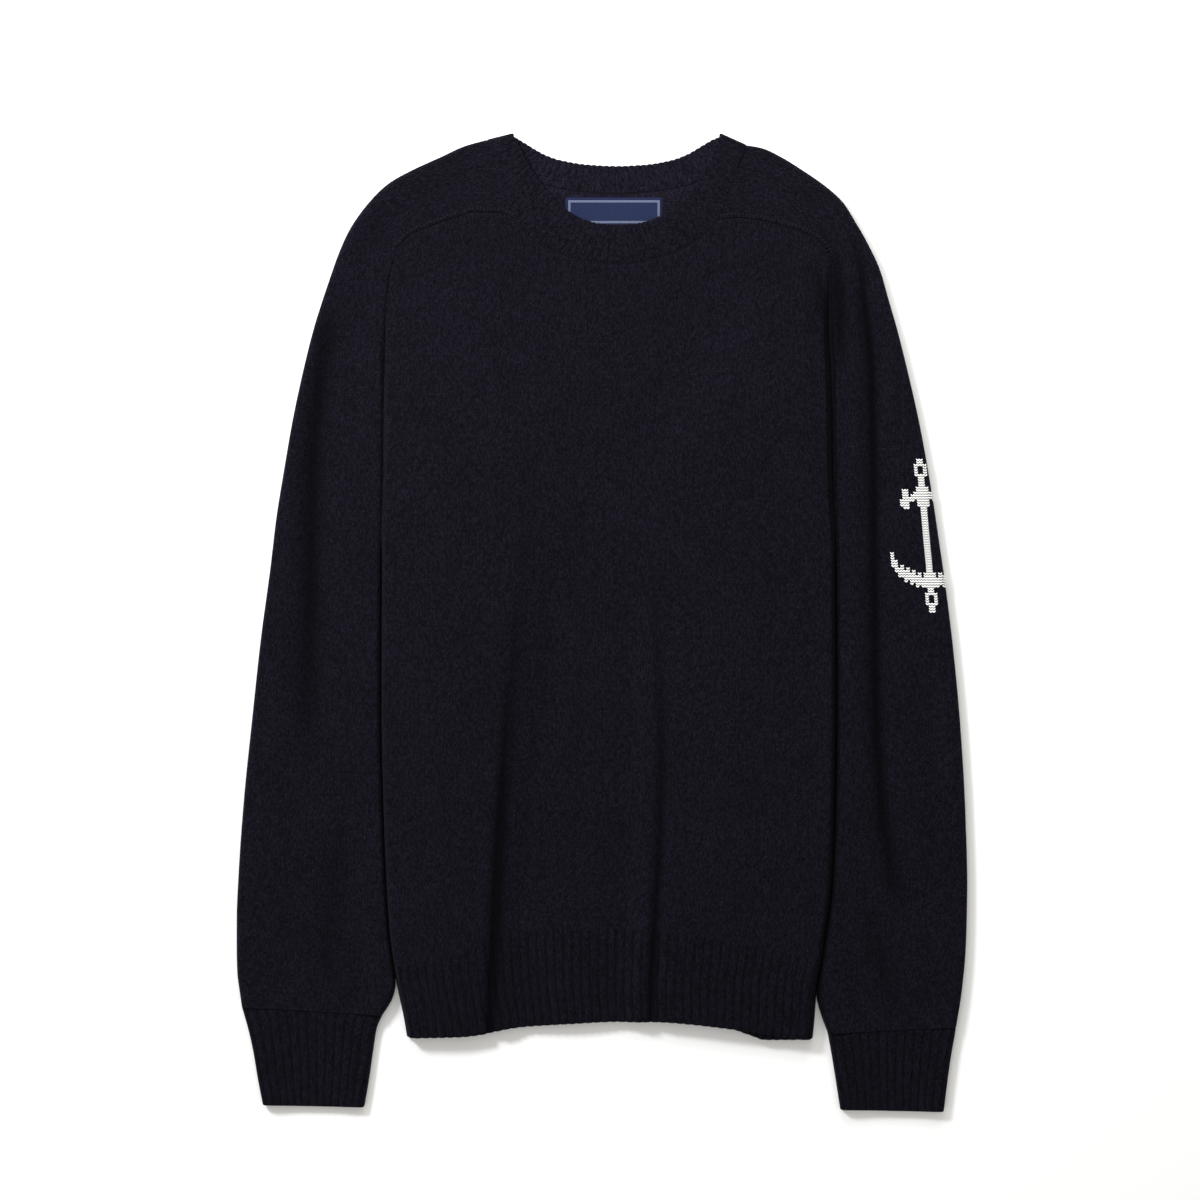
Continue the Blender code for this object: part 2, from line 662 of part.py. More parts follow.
def collar_half(table, heading_start, heading_end):
    """Columns of half the collar, one on and one between each rib, as (seam, free) points.

    Both ends are drawn in from the shoulder folds, where the ring turns over.
    """
    seams = [np.array([row.seam_x, row.seam_y]) for row in table]
    frees = [np.array([row.free_x, row.free_y]) for row in table]
    inset = COLLAR_FOLD + WALL / 2
    for end, heading in ((0, heading_start), (-1, heading_end)):
        seams[end] = seams[end] - heading * inset
        frees[end] = frees[end] - heading * inset
    middles = [(seam + free) / 2 for seam, free in zip(seams, frees)]
    steps = [np.linalg.norm(after - before) for before, after in zip(middles, middles[1:])]
    runs = np.concatenate(([0.0], np.cumsum(steps)))
    ribs = round(runs[-1] / COLLAR_RIB_PITCH)
    columns = []
    for place in np.linspace(0.0, runs[-1], 2 * ribs + 1):
        ends = [np.array([np.interp(place, runs, [point[axis] for point in line])
                          for axis in (0, 1)]) for line in (seams, frees)]
        columns.append(ends)
    return columns


def collar_flat(columns, level, facing):
    """A half of the collar that lies at one level, with its ribs on its upper side."""
    ring = []
    for index, (seam, free) in enumerate(columns):
        rib = RIB_RELIEF * (index % 2)
        normal = (0.0, 0.0, facing)
        reliefs = (rib, 0.0) if facing > 0 else (0.0, rib)
        ring.append(((*seam, level), (*free, level), normal, reliefs))
    return ring


def collar_turn(ends, heading):
    """The collar's turn over a shoulder, from the upper level down to the floor."""
    turns = [rolled(end, heading, TOP_SEAM_LEVEL, COLLAR_FOLD, math.pi, FOLD_STEPS + 1)[:-1]
             for end in ends]
    return [(seam[0], free[0], seam[1], (0.0, 0.0)) for seam, free in zip(*turns)]


def make_collar(name, cloth):
    """The ribbed collar: one ring, folded over at both shoulders."""
    over = {}
    for side, section in (("right", RIGHT_SLEEVE[-1]), ("left", LEFT_SLEEVE[-1])):
        along = np.array([section.fold_x - section.front_x, section.fold_y - section.front_y])
        over[side] = along / np.linalg.norm(along)
    front = collar_half(COLLAR_FRONT, over["right"], over["left"])
    back = collar_half(COLLAR_BACK, over["left"], over["right"])
    ring = collar_flat(front, TOP_SEAM_LEVEL, 1.0)
    ring += collar_turn(front[-1], over["left"])
    ring += collar_flat(back, FLOOR_LAYER, -1.0)
    ring += collar_turn(front[0], over["right"])[::-1]

    bm = bmesh.new()
    sections = []
    for seam, free, normal, (outer_rib, inner_rib) in ring:
        outer = []
        inner = []
        for row in range(COLLAR_ROWS + 1):
            middle = mix(np.array(seam), np.array(free), row / COLLAR_ROWS)
            outer.append(middle + np.array(normal) * (WALL / 2 + outer_rib))
            inner.append(middle - np.array(normal) * (WALL / 2 + inner_rib))
        loop = outer + inner[::-1]
        sections.append([bm.verts.new((x * MM, y * MM, max(z, 0.0) * MM)) for x, y, z in loop])
    for section, following in zip(sections, sections[1:] + sections[:1]):
        for index in range(len(section)):
            after = (index + 1) % len(section)
            bm.faces.new((section[index], section[after], following[after], following[index]))
    return add_object(name, bm, cloth)


def make_label(name, cloth):
    """A plain woven label on the back's inner face, below the collar seam."""
    bm = bmesh.new()
    bmesh.ops.create_cube(bm, size=1.0)
    base = WALL + SEAM
    bmesh.ops.scale(bm, verts=bm.verts, vec=(LABEL_WIDTH * MM, LABEL_HEIGHT * MM,
                                             LABEL_THICKNESS * MM))
    bmesh.ops.translate(bm, verts=bm.verts, vec=(
        LABEL_CENTRE[0] * MM, LABEL_CENTRE[1] * MM, (base + LABEL_THICKNESS / 2) * MM))
    return add_object(name, bm, cloth)


for old in list(bpy.data.objects):
    bpy.data.objects.remove(old, do_unlink=True)

knit = fabric("navy_knit", NAVY, 0.92)
rib_knit = fabric("navy_rib", RIB_NAVY, 0.92)
woven = fabric("label_weave", LABEL_BLUE, 0.7)

make_panel("front", front_tops(), upper_level, True, knit)
make_panel("back", back_tops(), under_level, False, knit)
make_hem_rib("hem_rib_front", FRONT_HEM, upper_level, True, 2 * HEM_RIBS, rib_knit)
make_hem_rib("hem_rib_back", BACK_HEM, under_level, False, HEM_RIBS // 2, rib_knit)
make_tuck("tucked_side_right", "right", knit)
make_tuck("tucked_side_left", "left", knit)
make_sleeve("sleeve_right", "right", RIGHT_SLEEVE, knit)
make_sleeve("sleeve_left", "left", LEFT_SLEEVE, knit)
make_cuff("cuff_right", "right", RIGHT_CUFF, rib_knit)
make_cuff("cuff_left", "left", LEFT_CUFF, rib_knit)
make_collar("collar", rib_knit)
make_label("neck_label", woven)
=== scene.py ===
import math
from collections import namedtuple

import bmesh
import bpy
import numpy as np
from mathutils import Matrix, Vector, noise


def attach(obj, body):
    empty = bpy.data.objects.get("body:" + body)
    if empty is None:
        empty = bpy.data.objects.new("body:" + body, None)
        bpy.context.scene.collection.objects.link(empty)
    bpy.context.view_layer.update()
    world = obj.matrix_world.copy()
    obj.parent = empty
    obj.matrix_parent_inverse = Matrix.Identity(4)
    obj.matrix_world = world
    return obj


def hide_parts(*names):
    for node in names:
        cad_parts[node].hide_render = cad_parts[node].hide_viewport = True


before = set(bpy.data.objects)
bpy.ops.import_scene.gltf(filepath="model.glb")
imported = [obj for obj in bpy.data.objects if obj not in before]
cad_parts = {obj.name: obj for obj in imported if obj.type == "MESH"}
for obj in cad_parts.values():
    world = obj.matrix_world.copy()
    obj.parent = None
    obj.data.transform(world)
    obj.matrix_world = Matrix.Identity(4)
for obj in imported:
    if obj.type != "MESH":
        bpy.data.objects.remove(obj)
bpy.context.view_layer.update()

# ---- Table, lamps and camera ---------------------------------------------------------
# The sweater lies on a plain white board. A soft lamp at the upper left, a low window
# beyond the collar and pale light from all round fall on it, seen from straight above.
BOARD_SIZE = 5.0
BOARD_DROP = 0.0003
BOARD_WHITES = ((0.90, 0.90, 0.895, 1.0), (0.93, 0.93, 0.925, 1.0))
ROOM_LIGHT = (1.0, 0.985, 0.955, 1.0)
ROOM_STRENGTH = 0.68
LENS = 85.0
FILM = 36.0
VIEW_WIDTH = 0.9
VIEW_CENTRE = (-0.0015, 0.0169)
VIEW_LEVEL = 0.004

board_top = bmesh.new()
bmesh.ops.create_grid(board_top, x_segments=1, y_segments=1, size=BOARD_SIZE)
bmesh.ops.translate(board_top, verts=board_top.verts, vec=(0.0, 0.0, -BOARD_DROP))
board_mesh = bpy.data.meshes.new("table")
board_top.to_mesh(board_mesh)
board_top.free()
board = bpy.data.objects.new("table", board_mesh)
bpy.context.scene.collection.objects.link(board)
white_board = bpy.data.materials.new("white_board")
white_board.use_nodes = True
board_nodes, board_links = white_board.node_tree.nodes, white_board.node_tree.links
board_shader = board_nodes["Principled BSDF"]
board_shader.inputs["Roughness"].default_value = 0.9
board_shader.inputs["Specular IOR Level"].default_value = 0.1
board_grain = board_nodes.new("ShaderNodeTexNoise")
board_grain.inputs["Scale"].default_value = 3.0
board_tone = board_nodes.new("ShaderNodeValToRGB")
for step, white in zip(board_tone.color_ramp.elements, BOARD_WHITES):
    step.color = white
board_links.new(board_grain.outputs["Fac"], board_tone.inputs["Fac"])
board_links.new(board_tone.outputs["Color"], board_shader.inputs["Base Color"])
board_mesh.materials.append(white_board)

room = bpy.data.worlds.new("room")
room.use_nodes = True
room.node_tree.nodes["Background"].inputs["Color"].default_value = ROOM_LIGHT
room.node_tree.nodes["Background"].inputs["Strength"].default_value = ROOM_STRENGTH
bpy.context.scene.world = room

Light = namedtuple("Light", "name place width depth energy colour")
for light in (Light("soft_lamp", (-1.36, 1.22, 1.25), 0.42, 0.42, 50.0, (0.97, 0.985, 1.0)),
              Light("window", (0.0, 1.0, 0.62), 1.0, 0.4, 8.2, (1.0, 1.0, 1.0))):
    glow = bpy.data.lights.new(light.name, "AREA")
    glow.shape = "RECTANGLE"
    glow.size, glow.size_y = light.width, light.depth
    glow.energy, glow.color = light.energy, light.colour
    lamp = bpy.data.objects.new(light.name, glow)
    lamp.location = light.place
    lamp.rotation_euler = (-lamp.location).to_track_quat("-Z", "Y").to_euler()
    bpy.context.scene.collection.objects.link(lamp)

camera_data = bpy.data.cameras.new("camera")
camera_data.lens = LENS
camera_data.sensor_width = FILM
camera = bpy.data.objects.new("camera", camera_data)
camera.location = (*VIEW_CENTRE, VIEW_LEVEL + VIEW_WIDTH * LENS / FILM)
bpy.context.scene.collection.objects.link(camera)
bpy.context.scene.camera = camera
bpy.context.scene.view_settings.view_transform = "Standard"

# ---- Back ----------------------------------------------------------------------------
# One panel of fine navy stockinette in worsted wool, knitted from the rib up and shaped
# at the neck and shoulders. It lies face down on the table, and rides up where the sides
# of the body are tucked under it. Sizes are in millimetres, with up towards the collar.
MM = 0.001
WALL = 2.2
FLOOR_LAYER = WALL / 2
LAYER_PITCH = 2.6
WALE = 2.15
COURSE = 1.9
BODY_WALES = 160
BODY_FOLD = 4.05
FOLD_STEPS = 14
SEAM_GAP = 0.3
TOP_SEAM_LEVEL = 4.6
SHOULDER = 235.0
BACK_LENGTH = 560.0
BACK_GRID = (101, 84)
BACK_LAP = 0.2
EDGE_ROUNDING = 1.1
EDGE_ROWS = (0.0, 0.12, 0.45, 1.0)
INWARDS = {"right": 1.0, "left": -1.0}
CREVICE = -0.12
CREVICE_PRESS = 0.7
CREVICE_PRESS_UP = 69.0
CREVICE_PRESS_REACH = 22.0
TUCK_DOUBLE = 4.6
TUCK_THIN = 1.0
TUCK_THINS_FROM = 150.0
TUCK_CLEAR = 0.4
TUCK_SLOPE = 24.0
TUCK_SLOPE_PAST = 39.0
CHEST_SLOPE = 34.0
CHEST_FROM = 20.0
CHEST_REACH = 90.0
SHOULDER_REACH = 21.0
BACK_STRIP = 1.5
BACK_SEAM_FROM = 225.0
BACK_SEAM_REACH = 25.0
SETTLE_ROUNDS = 14
NAVY = (0.0054, 0.0049, 0.0088)
INSIDE_NAVY = (0.0079, 0.0068, 0.0120)


Fold = namedtuple("Fold", "across up depth right left")


def rows(kind, *values):
    """A table with named columns."""
    return [kind(*row) for row in values]


def crease(*values):
    """The line of a fold: places with its depth, and its width to each side if they differ."""
    return [Fold(*row, *row[3:][:5 - len(row)]) for row in values]


Edge = namedtuple("Edge", "up right left")
BODY_EDGES = rows(Edge,
    (-313, -145.5, 157.5), (-298, -148, 159), (-272, -153.5, 161), (-253, -157, 165),
    (-230.5, -160, 168), (-200, -162, 172), (-140, -164.5, 174.5), (-60, -166, 175.5),
    (43, -165.5, 175), (114.5, -164, 172.5), (189.5, -163.5, 171.5), (219.5, -163, 170),
    (239, -162, 170), (254, -160.5, 170), (269, -157.5, 170.5), (281.5, -153, 171))
TUCK_DEPTHS = rows(Edge,
    (-313, 50, 110), (-176, 71, 119), (-35, 89, 118), (70, 96, 114), (150, 62, 72), (235, 16, 18))
Roll = namedtuple("Roll", "up angle")
EDGE_ROLLS = rows(Roll, (52, 180), (68, 90), (190, 90), (235, 50), (255, 34), (275, 16))
Point = namedtuple("Point", "across up")
BACK_TOP = rows(Point,
    (-154.5, 279.5), (-148.5, 290), (-136.5, 300.5), (-121, 311.5), (-104, 322), (-87, 332),
    (-69, 341.5), (-56, 333.5), (-40.5, 327.5), (-13, 323), (11, 321.5), (35, 323), (63, 327.5),
    (79, 333.5), (91.5, 341), (103, 333.5), (115, 326), (127.5, 317.5), (143, 308), (157.5, 297.5),
    (168, 284.5), (172.5, 273.5))
HEM_TOP = rows(Point,
    (-148, -257), (-127, -252.5), (-103.5, -246.5), (-81, -236), (-46.5, -230), (-1, -229),
    (43.5, -230.5), (67.5, -233.5), (113, -242), (144, -248), (165, -253))
BODY_CREASES = {
    "by_right_tuck": crease(
        (-52, 140, 0, 8, 14), (-55.5, 70, 0.9, 6, 12), (-67, -35, 1.8, 4.5, 12),
        (-74, -100, 2.4, 4.4, 11), (-79, -176, 3, 4, 9.5), (-82.5, -250, 3.6, 3.8, 7.5),
        (-84.5, -312, 3.6, 3.8, 6.5)),
    "by_left_tuck": crease(
        (37, 90, 0, 9, 8), (41, 10, 1, 7, 7), (45, -92, 1.8, 5.5, 6), (42.5, -173, 2.2, 5, 6),
        (38, -251, 2.5, 4.5, 6), (36, -312, 2.4, 4.5, 6)),
}
Sag = namedtuple("Sag", "drop seam fold")
EDGE_SAG = rows(Sag,
    (0, 0, 0), (0.03, 0.24, 0.24), (0.12, 0.4, 0.42), (0.3, 0.55, 0.52), (0.52, 0.7, 0.6),
    (0.76, 0.85, 0.67), (1, 1, 0.74), (1.5, 1, 0.88), (1.85, 1, 1), (1.96, 1, 0.86), (2, 1, 0))


def ease(value):
    """Smooth step from 0 to 1."""
    value = np.clip(value, 0.0, 1.0)
    return value * value * (3.0 - 2.0 * value)


def mix(first, second, share):
    """Blend of two values."""
    return first + (second - first) * share


def curve(knots, values, at):
    """Smooth curve through a table's points that never overshoots them."""
    knots = np.asarray(knots, float)
    values = np.asarray(values, float)
    steps = np.diff(knots)
    slopes = np.diff(values) / steps
    tangents = np.zeros(len(knots))
    same_way = slopes[:-1] * slopes[1:] > 0
    mean = 2.0 * slopes[:-1] * slopes[1:] / np.where(same_way, slopes[:-1] + slopes[1:], 1.0)
    tangents[1:-1] = np.where(same_way, mean, 0.0)
    tangents[0] = slopes[0]
    tangents[-1] = slopes[-1]
    at = np.clip(at, knots[0], knots[-1])
    span = np.clip(np.searchsorted(knots, at) - 1, 0, len(steps) - 1)
    part = (at - knots[span]) / steps[span]
    blend = ease(part)
    bend = (1.0 - part) * tangents[span] - part * tangents[span + 1]
    bend = bend * steps[span] * part * (1.0 - part)
    return values[span] * (1.0 - blend) + values[span + 1] * blend + bend


def column(table, name):
    """One named column of a table, as an array."""
    return np.array([getattr(row, name) for row in table])


def profile(table, name, at, by="up"):
    """A column of a table as a smooth curve over another of its columns."""
    table = sorted(table, key=lambda row: getattr(row, by))
    return curve(column(table, by), column(table, name), at)


def lengths(points, axis=0):
    """How far along a line, or along each row of a grid, every point lies."""
    steps = np.linalg.norm(np.diff(points, axis=axis), axis=-1)
    return np.concatenate((0.0 * steps.take([0], axis), np.cumsum(steps, axis=axis)), axis=axis)


def crevice(up):
    """Half the width of the crevice beside a sleeve. Below zero its two edges press
    together, and they do so more under the arm, where their roll changes."""
    return CREVICE - CREVICE_PRESS * np.exp(-((up - CREVICE_PRESS_UP) / CREVICE_PRESS_REACH) ** 2)


def body_edge(side, up):
    """Where the body's side edge lies, with its half of the crevice left clear."""
    return profile(BODY_EDGES, side, up) + INWARDS[side] * crevice(up)


def tuck_thickness(up):
    """Thickness of the tucked double layer, which thins out towards the shoulder."""
    return mix(TUCK_DOUBLE, TUCK_THIN, ease((up - TUCK_THINS_FROM) / (SHOULDER - TUCK_THINS_FROM)))


def tuck_end(side, up):
    """Where the tucked side ends under the body."""
    return body_edge(side, up) + INWARDS[side] * profile(TUCK_DEPTHS, side, up)


def folds(table, across, up):
    """How far folds and creases sink a sheet, each a trough (or a ridge) that runs up it."""
    sink = np.zeros(np.broadcast(across, up).shape)
    for fold in table.values():
        middle = profile(fold, "across", up)
        width = np.where(across < middle, profile(fold, "right", up), profile(fold, "left", up))
        sink = sink + profile(fold, "depth", up) * np.exp(-((across - middle) / width) ** 2)
    return sink


def under_level(across, up):
    """Middle of the lower sheet: on the table, and lifted where it lies on a tuck. The
    slope down from a tuck is longer over the chest."""
    lift = (tuck_thickness(up) + TUCK_CLEAR) * (1.0 - ease((up - SHOULDER) / SHOULDER_REACH))
    longer = CHEST_SLOPE * ease((up - CHEST_FROM) / CHEST_REACH)
    raised = [ease((INWARDS[side] * (tuck_end(side, up) - across) + TUCK_SLOPE_PAST + longer)
                   / (TUCK_SLOPE + longer)) for side in INWARDS]
    level = FLOOR_LAYER + lift * np.maximum(*raised) - folds(BODY_CREASES, across, up)
    return np.maximum(level, FLOOR_LAYER)


def edge_roll(up):
    """How far the front's side edge rolls over, in radians."""
    return np.radians(np.interp(up, column(EDGE_ROLLS, "up"), column(EDGE_ROLLS, "angle")))


def fold_over(angle):
    """Reach and drop of an edge that folds over and sags, as shares of its radius."""
    turns = angle[:, None] * np.arange(1, FOLD_STEPS + 1) / FOLD_STEPS
    drop = 1.0 - np.cos(turns)
    quarter = np.minimum(angle, math.pi / 2)
    seam_reach = profile(EDGE_SAG, "seam", 1.0 - np.cos(quarter), "drop")
    scale = np.sin(quarter) / np.maximum(seam_reach, 1e-6)
    into_seam = profile(EDGE_SAG, "seam", drop, "drop") * scale[:, None]
    right_over = profile(EDGE_SAG, "fold", drop, "drop")
    return mix(into_seam, right_over, np.clip(angle / math.pi * 2.0 - 1.0, 0.0, 1.0)[:, None]), drop, turns


def roll_start(side, up):
    """Where the body's flat part ends and the front's side edge starts to roll."""
    bend = np.sin(np.minimum(edge_roll(up), math.pi / 2))
    return body_edge(side, up) + INWARDS[side] * (BODY_FOLD + WALL / 2) * bend


def across_body(part, up):
    """Place across the body at a height, with part running from -1 to 1."""
    return mix(roll_start("right", up), roll_start("left", up), (part + 1.0) / 2.0)


def settle(parts, line):
    """Heights at which the columns of a grid meet a line across the body."""
    up = np.zeros(len(parts))
    for _ in range(SETTLE_ROUNDS):
        up = profile(line, "up", across_body(parts, up), "across")
    return up


def rim(distance):
    """Share of the wall's thickness near a rounded edge."""
    return np.sqrt(1.0 - (1.0 - np.clip(distance / EDGE_ROUNDING, 0.02, 1.0)) ** 2)


def edged_rows(count, length, bottom=True, top=True):
    """Shares of a length for a grid's rows, with more of them at its rounded edges."""
    close = np.array(EDGE_ROWS) / length
    shares = np.linspace(0.0, 1.0, count)[1:-1]
    return np.concatenate((close if bottom else [0.0], shares, 1.0 - close[::-1] if top else [1.0]))


def facing(middles, up_at=0.5):
    """Normals of a laid grid, turned so that they point upwards that far across it."""
    normals = np.cross(np.gradient(middles, axis=1), np.gradient(middles, axis=0))
    normals /= np.maximum(np.linalg.norm(normals, axis=-1, keepdims=True), 1e-9)
    return normals * np.sign(normals[:, int(up_at * middles.shape[1]), 2].mean())


def counted(wales, courses):
    """The wale and course at each point of a grid."""
    return np.stack(np.broadcast_arrays(wales, courses), axis=-1)


def finish_piece(name, bm, cloths, sharp=50):
    """Turn a finished bmesh into a named object."""
    bmesh.ops.recalc_face_normals(bm, faces=bm.faces)
    mesh = bpy.data.meshes.new(name)
    bm.to_mesh(mesh)
    bm.free()
    for cloth in cloths:
        mesh.materials.append(cloth)
    mesh.shade_smooth()
    mesh.set_sharp_from_angle(angle=math.radians(sharp))
    piece = bpy.data.objects.new(name, mesh)
    bpy.context.scene.collection.objects.link(piece)
    return piece


def lay_through(bm, spots, stitches):
    """Move each vertex of a flat grid to its spot, and give its corners their stitch."""
    counts = bm.loops.layers.uv["stitches"]
    last = np.array(stitches.shape[:2]) - 1
    for vert in bm.verts:
        row, col = round((vert.co.y + 1.0) / 2.0 * last[0]), round((vert.co.x + 1.0) / 2.0 * last[1])
        vert.co = spots(vert, row, col) * MM
        for loop in vert.link_loops:
            loop[counts].uv = stitches[row, col]


def knit_piece(name, middles, normals, outer, inner, stitches, cloths, shade_paint_amounts=None):
    """A knitted wall: a flat grid, extruded and laid through its points. Its UV map counts
    wales and courses, and its faces take the right-side or the wrong-side cloth. A vertex
    attribute carries painted shade: how far the cloth is darkened in creases and crevices."""
    bm = bmesh.new()
    bm.loops.layers.uv.new("stitches")
    painted_shade = bm.verts.layers.float.new("painted_shade")
    bmesh.ops.create_grid(bm, x_segments=middles.shape[1] - 1, y_segments=middles.shape[0] - 1, size=1.0)
    wrong_side = set(bm.faces)
    extruded = bmesh.ops.extrude_face_region(bm, geom=bm.faces[:], use_keep_orig=True)["geom"]
    right_side = {item for item in extruded if isinstance(item, bmesh.types.BMVert)}
    outside = middles + normals * np.asarray(outer)[..., None]
    inside = middles - normals * np.asarray(inner)[..., None]
    for side in (outside, inside):
        side[..., 2] = np.maximum(side[..., 2], 0.0)

    def spot(vert, row, col):
        """Where a vertex goes, on the outside or the inside. It takes its painted shade on the way."""
        vert[painted_shade] = 0.0 if shade_paint_amounts is None else shade_paint_amounts[row, col]
        return (outside if vert in right_side else inside)[row, col]

    lay_through(bm, spot, stitches)
    for face in bm.faces:
        face.material_index = 1 if face in wrong_side else 0
    return finish_piece(name, bm, cloths)


def place_piece(piece, node=None):
    """Let a piece lie with the sweater and in the place of its node."""
    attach(piece, "root")
    if node:
        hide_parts(node)


class Shade:
    """A number that a cloth works out all over its surface, with plain sums on it."""

    def __init__(self, cloth, socket):
        self.cloth, self.socket = cloth, socket

    def of(self, kind, *others):
        """What a sum of this kind makes of the number, with others where it takes them."""
        node = self.cloth.nodes.new("ShaderNodeMath")
        node.operation = kind
        for socket, value in zip(node.inputs, (self, *others)):
            self.cloth.feed(socket, value)
        return Shade(self.cloth, node.outputs[0])

    def __add__(self, other):
        return self.of("ADD", other)

    def __sub__(self, other):
        return self.of("SUBTRACT", other)

    def __mul__(self, other):
        return self.of("MULTIPLY", other)

    def __pow__(self, other):
        return self.of("POWER", other)


class Cloth:
    """A cloth's material while it is made up, with short ways to add its nodes."""

    def __init__(self, name, finish, colour=None):
        self.made = bpy.data.materials.new(name)
        self.made.use_nodes = True
        self.nodes = self.made.node_tree.nodes
        self.shader = self.nodes["Principled BSDF"]
        self.place = self.nodes.new("ShaderNodeTexCoord").outputs["Object"]
        for socket, value in finish.items():
            self.shader.inputs[socket].default_value = value
        if colour:
            self.made.diffuse_color = (*colour, 1.0)

    def feed(self, socket, value):
        """Give a socket a number, a colour, a shade or another node's output."""
        if isinstance(value, Shade):
            value = value.socket
        if isinstance(value, bpy.types.NodeSocket):
            self.made.node_tree.links.new(value, socket)
        else:
            socket.default_value = (*value, 1.0) if isinstance(value, tuple) else value

    def add(self, node, **inputs):
        """Feed a new node's inputs, named with _ for a space."""
        for name, value in inputs.items():
            self.feed(node.inputs[name.replace("_", " ")], value)
        return node.outputs

    def split(self, vector):
        """The first two parts of a vector, as shades."""
        parts = self.add(self.nodes.new("ShaderNodeSeparateXYZ"), Vector=vector)
        return Shade(self, parts["X"]), Shade(self, parts["Y"])

    def uneven(self, place, scale, detail=2.0):
        """Cloudy unevenness from 0 to 1, finer with a higher scale."""
        node = self.nodes.new("ShaderNodeTexNoise")
        return Shade(self, self.add(node, Vector=place, Scale=scale, Detail=detail)["Fac"])

    def mixed(self, first, second, share, kind="MIX"):
        """Two colours mixed by a share, or multiplied."""
        node = self.nodes.new("ShaderNodeMix")
        node.data_type = "RGBA"
        node.blend_type = kind
        return self.add(node, Factor=share, A=first, B=second)["Result"]

    def surface(self, colour, height, strength, distance):
        """Give the shader its colour, and its relief from a height."""
        self.feed(self.shader.inputs["Base Color"], colour)
        bump = self.nodes.new("ShaderNodeBump")
        normal = self.add(bump, Height=height, Strength=strength, Distance=distance)["Normal"]
        self.feed(self.shader.inputs["Normal"], normal)
        return self.made


WOOL_FINISH = {
    "Roughness": 0.93, "Specular IOR Level": 0.06, "Specular Tint": (0.80, 0.77, 1.0, 1.0),
    "Sheen Weight": 0.015, "Sheen Roughness": 0.55, "Sheen Tint": (0.80, 0.82, 1.0, 1.0),
}
WOOL_RELIEF = (0.85, 0.00055)
SWAY_SCALE = 0.45
WALE_SWAY = 0.5
COURSE_SWAY = 1.7
LEG_CLIMB = 0.75
LOOP_CLIMB = 0.24
FIBRE_SCALE = 1900.0
PILLING_SCALE = 520.0
CLOUD_SCALE = 16.0
# Painted shade: where a rib's gutter is darkened, and how dark marked creases and crevices get.
RIB_GUTTER = (0.02, 0.26)
PAINTED_SHADE_DARK = 0.85


def wool(name, colour, pattern, rib_wales=0, gutter=0.5):
    """Worsted wool, knitted: rounded yarn legs in a V on the right side, or purl loops on
    the wrong side, with uneven stitches, flecks and a soft nap. Painted shade darkens it
    between the yarn legs, in a rib's gutters and in creases and crevices marked on the mesh."""
    cloth = Cloth(name, WOOL_FINISH, colour)
    counts = cloth.nodes.new("ShaderNodeUVMap")
    counts.uv_map = "stitches"
    plain_wale, plain_course = cloth.split(counts.outputs["UV"])
    sway = (cloth.uneven(counts.outputs["UV"], SWAY_SCALE) - 0.5) * WALE_SWAY
    wale = plain_wale + sway
    course = plain_course + sway * COURSE_SWAY
    if pattern == "knit":
        out = (wale.of("FRACT") - 0.5).of("ABSOLUTE") * 2.0
        climb = course - out * LEG_CLIMB
        round_leg = (out * (0.86 * math.pi) + 0.08 * math.pi).of("SINE")
        yarn = (climb.of("FRACT") * math.pi).of("SINE") ** 0.55 * round_leg ** 0.6
    else:
        wave = (wale * (2.0 * math.pi)).of("COSINE")
        climb = wave * LOOP_CLIMB + course
        yarn = (climb.of("FRACT") * math.pi).of("SINE") ** 0.6 * (wave * 0.2 + 0.8)
    number = cloth.nodes.new("ShaderNodeCombineXYZ")
    cloth.add(number, X=(wale * 2.0).of("FLOOR"), Y=climb.of("FLOOR"))
    by_stitch = cloth.nodes.new("ShaderNodeTexWhiteNoise")
    by_stitch.noise_dimensions = "2D"
    chance = Shade(cloth, cloth.add(by_stitch, Vector=number.outputs["Vector"])["Value"])
    fibre = cloth.uneven(cloth.place, FIBRE_SCALE, 3.0)
    pilling = cloth.uneven(cloth.place, PILLING_SCALE)
    cloudy = cloth.uneven(cloth.place, CLOUD_SCALE)
    # Painted shade: the colour darkens where the yarn sinks between its legs and loops.
    tone = yarn * 0.55 + 0.50
    for shade, share, least in ((chance, 1.1, 0.45), (fibre, 0.9, 0.55), (pilling, 1.9, 0.05),
                                (cloudy, 0.34, 0.83)):
        tone = tone * (shade * share + least)
    # Painted shade: the gutters between the ribs are darkened, down to the gutter share.
    if rib_wales:
        beat = plain_wale.of("DIVIDE", float(rib_wales)).of("FRACT")
        valley = cloth.nodes.new("ShaderNodeMapRange")
        valley.interpolation_type = "SMOOTHSTEP"
        cloth.add(valley, Value=beat.of("MINIMUM", beat * -1.0 + 1.0), From_Min=RIB_GUTTER[0],
                  From_Max=RIB_GUTTER[1], To_Min=gutter, To_Max=1.0)
        tone = tone * valley.outputs["Result"]
    # Painted shade: the mesh's attribute darkens the colour in creases and crevices.
    painted_shade = cloth.nodes.new("ShaderNodeAttribute")
    painted_shade.attribute_name = "painted_shade"
    tone = tone * (Shade(cloth, painted_shade.outputs["Fac"]) * -PAINTED_SHADE_DARK + 1.0)
    height = pilling * 0.5 + (fibre * 0.22 + yarn)
    return cloth.surface(cloth.mixed(colour, tone, 1.0, "MULTIPLY"), height, *WOOL_RELIEF)


